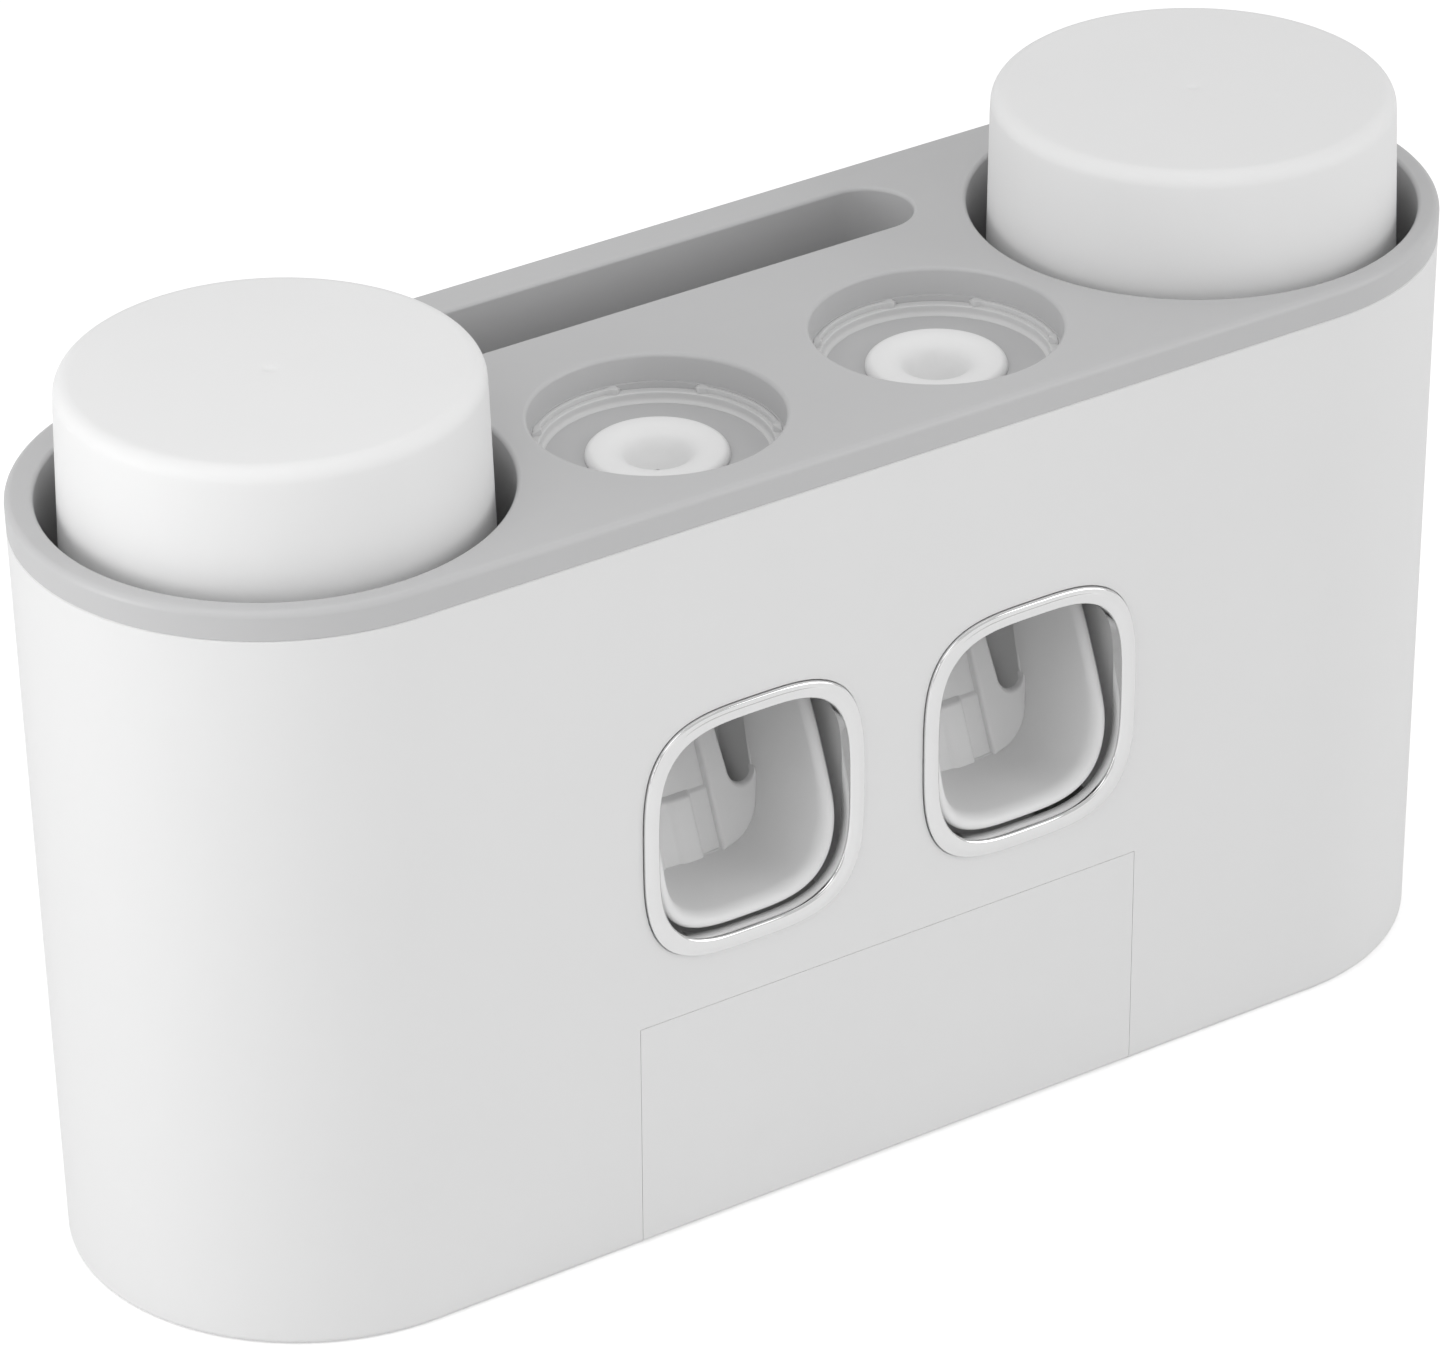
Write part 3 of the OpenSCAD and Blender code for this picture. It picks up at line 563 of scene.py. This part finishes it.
class DISPENSER_OT_deck(bpy.types.Operator):
    """Make the grey deck: top plate, rounded band, cup wells, tube sockets and rear slot with rounded lips"""

    bl_idname = "dispenser.deck"
    bl_label = "Deck"

    def execute(self, context):
        s = sizes()
        top, under, low = s.height, s.height - s.deck_thickness, s.height - s.band
        chamfer, tongue = 0.00022, 0.0026
        rows = [*lip(0.0, s.deck_edge, top, 9),
                (0.0, low + chamfer), (chamfer, low), (tongue, low), (tongue, under)]
        band = [body_loop(s, inset, z) for inset, z in rows]
        patches = [between_loops(band)]
        top_holes, under_holes = [], []
        for _, sign in SIDES:
            for x, y, profile in ((sign * s.cup_x, s.cup_y, self.well(s)),
                                  (sign * s.station_x, s.socket_y, self.socket(s))):
                patches.append(between_loops(lathe_loops(profile, x, y, s.steps)))
                top_holes.append(circle(profile[0][0], x, y, s.steps))
                under_holes.append(circle(profile[-1][0], x, y, s.steps))
        patches += self.slot(s)
        top_holes.append(self.slot_outline(s, s.lip))
        under_holes.append(self.slot_outline(s, s.slot_wall))
        patches.append(plate([band[0][:, :2], *top_holes], at_height(top)))
        patches.append(plate([band[-1][:, :2], *under_holes], at_height(under)))
        rib_out, rib_in, rib_foot, rib_root = 0.00235, 0.0035, low - 0.004, under + 0.0001
        rib = ((rib_out, rib_foot), (rib_out, rib_root), (rib_in, rib_root), (rib_in, rib_foot))
        patches.append(between_loops([body_loop(s, inset, z) for inset, z in rib], wrap=True))
        make_skin("deck", patches, "case", "deck_grey")
        return {"FINISHED"}

    def well(self, s):
        """Profile of a cup well: lip, drafted wall, rounded foot, drain hole, then back up outside."""
        top, floor, under, fillet = s.height, s.well_floor, s.well_floor - 0.002, 0.0012
        drain_r, wall = 0.005, 0.0014
        foot_r = s.well_radius - s.well_draft
        return np.concatenate([
            lip(s.well_radius, s.lip, top),
            [[foot_r, floor + fillet]],
            arc(foot_r - fillet, floor + fillet, fillet, -15, -90, 6),
            [[drain_r, floor], [drain_r, under], [foot_r + wall, under],
             [s.well_radius + wall, top - s.deck_thickness]],
        ])

    def socket(self, s):
        """Profile of a tube socket: lip, wall, step of the ring, floor, neck hole, then back up outside."""
        top, floor, under = s.height, s.socket_floor, s.socket_floor - 0.0018
        r, neck_r, wall, step = s.socket_radius, 0.0065, 0.0014, 0.0003
        return np.concatenate([
            lip(r, s.lip, top),
            [[r, floor + 0.0031], [r - step, floor + 0.003], [r - step, floor], [neck_r, floor],
             [neck_r, under], [r + wall, under], [r + wall, top - s.deck_thickness]],
        ])

    def slot_outline(self, s, grown):
        """Outline of the rear slot, grown by an amount."""
        return stadium(s.slot_width / 2 + grown, (s.slot_length - s.slot_width) / 2, s.slot_y, s.steps)

    def slot(self, s):
        """Walls of the rear slot, its floor with three drain holes, and the outside of its walls."""
        floor, under, fillet = s.slot_floor, s.slot_floor - 0.0015, 0.0012
        half, drain_r = s.slot_width / 2, 0.0025
        inner = np.concatenate([lip(half, s.lip, s.height), [[half, floor + fillet]],
                                arc(half - fillet, floor + fillet, fillet, -15, -90, 6)])
        walls = [at_height(z)(self.slot_outline(s, r - half)) for r, z in inner]
        levels = (under, s.height - s.deck_thickness)
        outer = [at_height(z)(self.slot_outline(s, s.slot_wall)) for z in levels]
        holes = [circle(drain_r, k * s.slot_length / 3, s.slot_y, 32) for k in (-1, 0, 1)]
        patches = [between_loops(walls), between_loops(outer)]
        patches += [between_loops([at_height(z)(hole) for z in (floor, under)]) for hole in holes]
        patches.append(plate([walls[-1][:, :2], *holes], at_height(floor)))
        patches.append(plate([outer[0][:, :2], *holes], at_height(under)))
        return patches


class DISPENSER_OT_shell(bpy.types.Operator):
    """Make the white shell: drafted walls with round ends, windows, drawer opening and keyholes"""

    bl_idname = "dispenser.shell"
    bl_label = "Shell"

    def execute(self, context):
        s = sizes()
        patches = self.rim(s) + self.ends(s) + self.low_wall(s)
        patches += self.front(s) + self.back(s) + self.inner_parts(s)
        make_skin("housing", patches, "case", "shell_white")
        return {"FINISHED"}

    def levels(self, s):
        """Inset and upper height of the outside and of the inside of the wall."""
        low = s.height - s.band
        return ((0.0, low - s.rim_chamfer), (s.wall, low))

    def rim(self, s):
        """Top edge of the wall, with a fine chamfer that shows as a line under the deck."""
        outside, inside_edge = self.levels(s)
        rows = (outside, (s.rim_chamfer, inside_edge[1]), inside_edge)
        return [between_loops([body_loop(s, inset, z) for inset, z in rows])]

    def ends(self, s):
        """Round ends above the drawer's height, outside and inside: two half loops joined straight."""
        arcs = s.steps // 2 + 1
        patches = []
        for inset, top in self.levels(s):
            loops = np.array([body_loop(s, inset, z) for z in (s.drawer_height, top)])
            patches += [between_loops(half, closed=False) for half in (loops[:, :arcs], loops[:, arcs:])]
        return patches

    def low_wall(self, s):
        """Wall below the drawer's height: its section is carried round from side to side of the opening."""
        edge, chamfer = s.deck_edge, 0.0002
        rows = [(0.0, s.drawer_height), *arc(edge, edge, edge, 180, 270, 8),
                (s.wall - chamfer, 0.0), (s.wall, chamfer), (s.wall, s.drawer_height)]
        loops = []
        for inset, z in rows:
            loop = body_loop(s, inset, z)
            start, end = loop[0].copy(), loop[-1].copy()
            start[0], end[0] = s.drawer_width / 2, -s.drawer_width / 2
            loops.append(np.vstack([start, loop, end]))
        return [bar(loops, wrap=False)]

    def window(self, s, sign, grown, inset):
        """Outline of a window opening, grown by an amount, at an inset behind the front face."""
        tilt = front_tilt(s)
        u, v = rounded_square(s.window_half_w + grown, s.window_half_h + grown, s.window_square,
                              full_turn(s.steps))
        z = s.window_z + v * math.cos(tilt) + inset * math.cos(tilt) * math.sin(tilt)
        return np.column_stack([sign * s.station_x + u, -(radius_at(s, z) - inset), z])

    def face(self, s, sign, inset):
        """Lifts points of x and z to the flat front or back, at an inset behind its face."""
        def lift(flat):
            x, z = flat.T
            return np.column_stack([x, sign * (radius_at(s, z) - inset), z])

        return lift

    def front(self, s):
        """Flat front above the drawer, outside and inside, and its windows with a groove round each frame."""
        half, side, low = s.half_length - s.end_radius, s.drawer_width / 2, s.drawer_height
        groove, behind_frame = s.groove, -0.001
        patches, top_of_opening = [], []
        for (inset, top), grown in zip(self.levels(s), (groove, behind_frame)):
            outline = np.array([(-half, low), (-side, low), (side, low), (half, low),
                                (half, top), (-half, top)])
            holes = [self.window(s, sign, grown, inset)[:, [0, 2]] for _, sign in SIDES]
            patches.append(plate([outline, *holes], self.face(s, -1, inset)))
            top_of_opening.append(self.face(s, -1, inset)(outline[1:3]))
        deep = s.groove_depth
        steps = ((groove, 0.0), (groove, deep), (behind_frame, deep), (behind_frame, s.wall))
        patches += [between_loops([self.window(s, sign, *step) for step in steps]) for _, sign in SIDES]
        patches.append(between_loops(top_of_opening, closed=False))
        return patches

    def back(self, s):
        """Flat back with its two keyholes, outside and inside, joined through the keyholes."""
        half, low = s.half_length - s.end_radius, s.drawer_height
        patches, lifted = [], []
        holes = [self.keyhole(s) + (sign * s.keyhole_spacing / 2, s.keyhole_z) for _, sign in SIDES]
        for inset, top in self.levels(s):
            outline = np.array([(-half, low), (half, low), (half, top), (-half, top)])
            patches.append(plate([outline, *holes], self.face(s, 1, inset)))
            lifted.append([self.face(s, 1, inset)(hole) for hole in holes])
        return patches + [between_loops([a, b]) for a, b in zip(*lifted)]

    def keyhole(self, s):
        """Outline of a keyhole: most of a circle for the screw head, and a narrow round-ended neck above."""
        r, neck_top = s.keyhole_radius, s.keyhole_radius + 0.0038
        return np.concatenate([arc(0.0, 0.0, r, 120, 420, 40), arc(0.0, neck_top, r / 2, 0, 180, 16)])

    def inner_parts(self, s):
        """Guide walls beside the levers, and the turned screw posts at the foot."""
        patches = []
        low, high, thick = 0.054, s.window_z + 0.044, 0.0012
        front = -radius_at(s, low) + s.wall / 4
        for _, sign in SIDES:
            for hand in (-1, 1):
                x = sign * s.station_x + hand * (s.window_half_w - 0.0009)
                left, right = sorted((x, x + hand * thick))
                corners = ((left, front), (right, front), (right, 0.0), (left, 0.0))
                patches.append(bar([[(*corner, z) for z in (low, high)] for corner in corners]))
        post_r, bore_r, foot, post_top = 0.0034, 0.00125, 0.003, 0.020
        tube = ((post_r, foot), (post_r, post_top), (bore_r, post_top), (bore_r, foot))
        reach = radius_at(s, 0.0) - s.wall - 0.0042
        for middle, turn in ((0.070, 90.0), (s.half_length - s.end_radius, 50.0)):
            out, along = np.array([math.sin(math.radians(turn)), math.cos(math.radians(turn))]) * reach
            for sx in (-1, 1):
                for sy in (-1, 1):
                    rings = lathe_loops(tube, sx * (middle + along), sy * out, 32)
                    patches.append(between_loops(rings, wrap=True))
        return patches


class DISPENSER_OT_levers(bpy.types.Operator):
    """Make the two scoops behind the windows: rounded rim, walls, and a back with slits and a sunk band"""

    bl_idname = "dispenser.levers"
    bl_label = "Levers"

    def execute(self, context):
        s = sizes()
        for side, sign in SIDES:
            points, faces = self.slab(s)
            mirrored = points * (-1.0, 1.0, 1.0), [row[::-1] for row in faces]
            patches = [self.wall(s), (points, faces), mirrored, self.band(s)]
            patches = [(points + (sign * s.station_x, 0.0, 0.0), faces) for points, faces in patches]
            make_skin(f"lever_{side}", patches, f"{side}_lever", "lever_grey")
        return {"FINISHED"}

    def half_height(self, s, inset):
        """Half of the height of a scoop's outline at an inset."""
        return s.window_half_h - s.frame_width - s.lever_gap_low - inset

    def outline(self, s, inset, top):
        """Half of a rounded square below, straight sides above, seen from the front."""
        half_w = s.window_half_w - s.frame_width - s.lever_gap - inset
        x, z = rounded_square(half_w, self.half_height(s, inset), s.window_square,
                              np.linspace(np.pi, 2 * np.pi, 97))
        up = s.window_z + np.linspace(0.0, 1.0, 24)[1:] * (top - s.window_z)
        x = np.concatenate([np.full(len(up), -half_w), x, np.full(len(up), half_w)])
        return x, np.concatenate([up[::-1], s.window_z + z, up])

    def rim_y(self, s, z):
        """Rim of a scoop: near the front below, then falling back in two smooth bends.

        Each adds its slope times the softness times the logarithm of one plus the exponential of
        the height above its start over the softness.
        """
        depth = 0.00205
        for start, softness, slope in ((0.0766, 0.0020, 0.42), (0.0970, 0.0025, 0.55)):
            depth = depth + slope * softness * np.logaddexp(0.0, (z - start) / softness)
        return depth - radius_at(s, z)

    def back_y(self, s, z, depth=0.0):
        """Plane of the back of a resting lever, a depth behind its front: it leans by the lever's lean."""
        behind_hinge = (s.back_depth + depth) / math.cos(s.lever_lean)
        return s.pivot_y + behind_hinge + (z - s.pivot_z) * math.tan(s.lever_lean)

    def wall(self, s):
        """Wall of a scoop: a section of insets and depths carried round its outline.

        It goes from the ledge at the back up the inner side, over the rim in two quarter ellipses, and
        down outside. Past the foot of the slits its inner side keeps to the wall's thickness.
        """
        top, crest = s.pivot_z + 0.002, 0.0007
        over, down = np.linspace(np.pi / 2, 0.0, 10), np.linspace(0.0, np.pi / 2, 6)[1:]
        inner_side = ((0.0014, 0.0016), (s.ledge, 0.0015), (s.ledge, 0.0010),
                      (0.0030, 0.0009), (0.0029, -0.0012))
        rim = [*zip(crest + 0.0018 * np.sin(over), 0.0030 * (1 - np.cos(over))),
               *zip(crest * (1 - np.sin(down)), 0.0009 * (1 - np.cos(down)))]

        def line(inset, y_of):
            """Line of the wall at an inset, with its setback worked out from its height."""
            x, z = self.outline(s, inset, top)
            past_foot = np.clip((z - s.slit_foot - 0.0005) / 0.0080, 0.0, 1.0)
            outward = max(0.0, inset - s.lever_wall) * past_foot * np.sign(x)
            return np.column_stack([x + outward, y_of(z), z])

        rows = [line(inset, lambda z, depth=depth: self.back_y(s, z) + depth) for inset, depth in inner_side]
        rows += [line(inset, lambda z, depth=depth: self.rim_y(s, z) + depth) for inset, depth in rim]
        rows += [line(inset, lambda z: self.back_y(s, z, s.back_thickness)) for inset in (0.0, 0.0014)]
        return bar(rows)

    def slab(self, s):
        """Strip of a scoop's back between its band and a slit, closed by a flat face in front and behind.

        Its outline follows the foot of the wall, then the foot and inner side of the slit. Rows of it,
        each deeper and less drawn in, round the front edge, less and less towards its thin tip.
        """
        top, tuck, flare = s.back_top, 0.0029, 0.0013
        foot, reach = s.slit_foot, s.slit_width / 2
        x, z = self.outline(s, tuck, top)
        lower = (z < foot - 0.0004) & (x > s.band_half + 0.001)
        outline = np.concatenate([
            [[s.band_half, s.window_z - self.half_height(s, tuck)]], np.column_stack([x[lower], z[lower]]),
            arc(s.slit_x, foot, reach, -8, -180, 17),
            [[s.slit_x - reach - flare, top], [s.band_half, top]],
        ])
        beside_slit = np.hypot(outline[:, 0] - s.slit_x, outline[:, 1] - foot) < reach * 1.01
        thickness = np.where(beside_slit, 0.0012, 0.0022)
        from_tip = np.linalg.norm(outline - outline[lower.sum()], axis=1)
        rounding = np.clip(from_tip / 0.0035, 0.0, 1.0) ** 1.5
        edge = ((0.0007, 0.0), (0.00035, 0.0001), (0.0001, 0.00035), (0.0, 0.0007), (0.0, thickness))
        rows = []
        for inset, depth in edge:
            x, z = self.drawn_in(outline, inset * rounding[:, None]).T
            rows.append(np.column_stack([x, self.back_y(s, z, depth), z]))
        points, faces = between_loops(rows)
        faces = faces.tolist()
        for row in (0, len(rows) - 1):
            triangles = plate([rows[row][:, [0, 2]]], at_height(0.0))[1]
            faces += (triangles + row * len(outline)).tolist()
        return points, faces

    def band(self, s):
        """Sunk middle band: its section across is carried up the back, and sinks deeper above the step."""
        half, pad, step = s.band_half + 0.0003, 0.0023, s.step_z
        across, lower = np.array([
            (-half, 0.0009), (-pad - 0.0007, 0.0009), (-pad - 0.0003, 0.0008), (-pad, 0.0006),
            (-pad + 0.0007, 0.0004), (pad - 0.0008, 0.0004), (pad - 0.0004, 0.0005), (pad - 0.0001, 0.0008),
            (pad + 0.0002, 0.0014), (half, 0.0014),
        ]).T
        upper, rear = 0.0020, s.back_thickness / math.cos(s.lever_lean)
        stations = ((s.back_foot, lower), (step - 0.0006, lower), (step - 0.0002, lower + 0.00015),
                    (step, lower + 0.0005), (step + 0.0002, upper), (s.back_top, upper),
                    (s.back_top, rear), (s.back_foot, rear))
        rows = [np.broadcast_arrays(across, self.back_y(s, z) + sunk, z) for z, sunk in stations]
        return bar([np.column_stack(row) for row in rows])

    def drawn_in(self, outline, inset):
        """Outline moved inwards: each point goes along the mean of its two edges' normals."""
        edge = np.roll(outline, -1, axis=0) - outline
        edge /= np.linalg.norm(edge, axis=1)[:, None]
        normal = np.column_stack([-edge[:, 1], edge[:, 0]])
        both = normal + np.roll(normal, 1, axis=0)
        both /= np.maximum((both * both).sum(axis=1) / 2, 0.6)[:, None]
        return outline + inset * both


class DISPENSER_OT_seals(bpy.types.Operator):
    """Make the two soft white seals with their funnels"""

    bl_idname = "dispenser.seals"
    bl_label = "Seals"

    def execute(self, context):
        s = sizes()
        for side, sign in SIDES:
            loops = lathe_loops(self.profile(s), sign * s.station_x, s.socket_y, s.steps)
            made = make_skin(f"tube_seal_{side}", [between_loops(loops, wrap=True)], "case", "seal_white",
                             sharp=60.0)
            rounder = made.modifiers.new("rounder", "SUBSURF")
            rounder.levels = rounder.render_levels = 1
        return {"FINISHED"}

    def profile(self, s):
        """Profile of a seal, as radius and height over the socket's floor: foot, round lip and funnel."""
        foot = ((0.0055, -0.0032), (0.0064, -0.0026), (0.0064, 0.0), (0.0126, 0.0))
        funnel = ((0.0102, 0.00172), (0.0090, 0.00154), (0.0078, 0.00126), (0.0068, 0.0009), (0.0061, 0.0004),
                  (0.0055, -0.0003), (0.0049, -0.0011), (0.0042, -0.0018), (0.0033, -0.0024),
                  (0.0020, -0.0028), (0.0008, -0.0029), (0.0006, -0.0030), (0.0006, -0.0032))
        return np.concatenate([foot, arc(0.0114, 0.0002, 0.0015, -8, 82, 8), funnel]) + (0.0, s.socket_floor)


class DISPENSER_OT_rings(bpy.types.Operator):
    """Make the ring round each seal, with four lugs whose ends narrow to bright tips"""

    bl_idname = "dispenser.rings"
    bl_label = "Tube rings"

    def execute(self, context):
        s = sizes()
        outer = s.socket_radius - 0.00035
        apart = (s.lug_gap + s.lug_angle) / 2
        for side, sign in SIDES:
            loops = lathe_loops(self.profile(s, outer), sign * s.station_x, s.socket_y, s.steps)
            patches = [between_loops(loops, wrap=True)]
            patches += [self.lug(s, sign, outer, s.lug_turn + turn + hand * apart)
                        for turn in (0.0, math.pi) for hand in (-1, 1)]
            make_skin(f"tube_ring_{side}", patches, "case", "ring_grey")
        return {"FINISHED"}

    def profile(self, s, outer):
        """Profile of a ring: a low bar with a rounded upper edge, and a fillet round its inner foot."""
        z, top, inner = s.socket_floor, s.socket_floor + 0.0019, outer - 0.0024
        edge, fillet = 0.0003, 0.0008
        return np.concatenate([
            [[outer, z], [outer, top]],
            arc(outer - 0.0013, top - edge, edge, 90, 180, 5),
            arc(inner, z + 0.00005 + fillet, fillet, 0, -90, 7),
            [[inner, z]],
        ])

    def lug(self, s, sign, outer, middle):
        """Bar along the socket wall: a small section of steps in and up, carried along an arc.

        It grows wider and higher towards both ends, and its last tenth narrows again.
        """
        half = s.lug_angle / 2
        turn = np.linspace(-half, half, 49)
        from_end = 1.0 - np.abs(turn) / half
        narrowing = np.clip(from_end / 0.10, 0.02, 1.0)
        tip = np.clip(1.0 - from_end / 0.24, 0.0, 1.0)
        wide, high = 0.00065 + 0.0016 * tip, 0.0012 + 0.0005 * tip
        section = ((0.0, 0.0), (0.85, 0.0), (1.0, 0.15), (1.0, 0.8), (0.93, 0.95), (0.8, 1.0), (0.0, 1.0))
        rows = []
        for across, up in section:
            radius = outer - across * wide * narrowing
            rows.append(np.column_stack([
                sign * s.station_x + radius * np.cos(middle + turn),
                s.socket_y + radius * np.sin(middle + turn),
                s.socket_floor + 0.0017 + up * high * (0.35 + 0.65 * narrowing),
            ]))
        return bar(rows)


class DISPENSER_OT_stage(bpy.types.Operator):
    """Make the floor, the soft studio lights and the camera"""

    bl_idname = "dispenser.stage"
    bl_label = "Stage"

    def execute(self, context):
        self.make_floor()
        self.make_lights(context)
        self.make_camera(context)
        return {"FINISHED"}

    def make_floor(self):
        """A wide pale floor that keeps the shadow, and glows for camera rays and less for mirrored ones."""
        mesh = bpy.data.meshes.new("floor")
        reach, strength, mirrored_share = 6.0, 0.42, 0.4
        corners = [(-reach, -reach, 0), (reach, -reach, 0), (reach, reach, 0), (-reach, reach, 0)]
        mesh.from_pydata(corners, [], [(0, 1, 2, 3)])
        floor = bpy.data.objects.new("floor", mesh)
        bpy.context.scene.collection.objects.link(floor)
        shader = Shader("floor_white")
        shader.dress(Base_Color=(0.80, 0.80, 0.80, 1.0), Roughness=0.9, Specular_IOR_Level=0.0)
        ray = shader.node("ShaderNodeLightPath").outputs
        mirrored = shader.combined("MULTIPLY", ray["Is Glossy Ray"], mirrored_share)
        seen = shader.combined("MAXIMUM", ray["Is Camera Ray"], mirrored)
        inputs = {"Color": WHITE, "Strength": shader.combined("MULTIPLY", seen, strength)}
        glow = shader.node("ShaderNodeEmission", inputs).outputs[0]
        shader.show("ShaderNodeAddShader", {0: shader.surface.outputs[0], 1: glow})
        mesh.materials.append(shader.material)

    def make_lights(self, context):
        """A bright even sky, soft lamps round the object, and faint ones inside for its thin shell.

        Each lamp has a place, a point that it shines at, a size in metres and a power in watts.
        """
        world = bpy.data.worlds.new("studio")
        context.scene.world = world
        world.use_nodes = True
        sky = world.node_tree.nodes["Background"].inputs
        sky["Color"].default_value = WHITE
        sky["Strength"].default_value = 0.655
        lamps = (
            ("front", (-0.4, -1.7, 0.5), (0.0, 0.0, 0.08), 1.0, 1.3),
            ("fill", (1.5, -1.4, 0.9), (0.0, 0.0, 0.08), 1.2, 10.0),
            ("top", (0.1, 0.3, 1.9), (0.0, 0.0, 0.1), 1.4, 3.0),
            ("near", (-0.32, -0.14, 0.46), (-0.1, 0.0, 0.1), 0.3, 0.30),
            ("left", (-0.95, 0.1, 0.3), (-0.14, 0.0, 0.1), 0.5, 2.6),
            ("inner_back", (0.01, 0.012, 0.066), (0.02, 0.045, 0.035), 0.05, 0.0021),
            ("inner_left", (-0.0298, -0.003, 0.064), (-0.0298, -0.018, 0.078), 0.03, 0.0016),
            ("inner_right", (0.0298, -0.003, 0.064), (0.0298, -0.018, 0.078), 0.03, 0.0016),
        )
        for name, place, aim, size, power in lamps:
            data = bpy.data.lights.new(name, "AREA")
            data.shape = "SQUARE"
            data.size = size
            data.energy = power
            lamp = bpy.data.objects.new(name, data)
            direction = Vector(np.subtract(place, aim)).to_track_quat("Z", "Y").to_matrix()
            lamp.matrix_world = Matrix.Translation(place) @ direction.to_4x4()
            lamp.visible_camera = False
            lamp.visible_glossy = not name.startswith("inner")
            context.scene.collection.objects.link(lamp)

    def make_camera(self, context):
        """The camera of the photograph."""
        data = bpy.data.cameras.new("camera")
        data.sensor_width, data.lens = 36.0, 187.3
        data.shift_x, data.shift_y = -0.0212, 0.0184
        data.clip_start, data.clip_end = 0.05, 30.0
        camera = bpy.data.objects.new("camera", data)
        azimuth, elevation, roll = -33.23, 29.75, -0.84
        place = Matrix.Translation((-0.6574, -1.0047, 0.7603))
        for degrees, axis in ((azimuth, "Z"), (90.0 - elevation, "X"), (roll, "Z")):
            place = place @ Matrix.Rotation(math.radians(degrees), 4, axis)
        camera.matrix_world = place
        context.scene.collection.objects.link(camera)
        context.scene.camera = camera
        context.scene.view_settings.view_transform = "Standard"


GROUPS = {"dispenser_sizes": DispenserSizes, "dispenser_colours": DispenserColours}
OPERATORS = (
    DISPENSER_OT_solids,
    DISPENSER_OT_shell,
    DISPENSER_OT_deck,
    DISPENSER_OT_cups,
    DISPENSER_OT_levers,
    DISPENSER_OT_frames,
    DISPENSER_OT_seals,
    DISPENSER_OT_rings,
    DISPENSER_OT_stage,
)


class DISPENSER_PT_panel(bpy.types.Panel):
    """Buttons and sizes of the dispenser"""

    bl_idname = "DISPENSER_PT_panel"
    bl_label = "Toothpaste dispenser"
    bl_space_type = "VIEW_3D"
    bl_region_type = "UI"
    bl_category = "Dispenser"

    def draw(self, context):
        for operator in OPERATORS:
            self.layout.operator(operator.bl_idname)
        for place, kind in GROUPS.items():
            for name in kind.__annotations__:
                self.layout.prop(getattr(context.scene, place), name)


CLASSES = (*GROUPS.values(), *OPERATORS, DISPENSER_PT_panel)


def register():
    """Registers the classes and gives each scene its sizes and colours."""
    for cls in CLASSES:
        bpy.utils.register_class(cls)
    for place, kind in GROUPS.items():
        setattr(bpy.types.Scene, place, PointerProperty(type=kind))


def unregister():
    """Takes back what register did."""
    for place in GROUPS:
        delattr(bpy.types.Scene, place)
    for cls in reversed(CLASSES):
        bpy.utils.unregister_class(cls)


def main():
    """Builds everything in order."""
    register()
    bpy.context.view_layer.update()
    for operator in OPERATORS:
        group, name = operator.bl_idname.split(".")
        getattr(getattr(bpy.ops, group), name)()


if __name__ == "__main__":
    main()
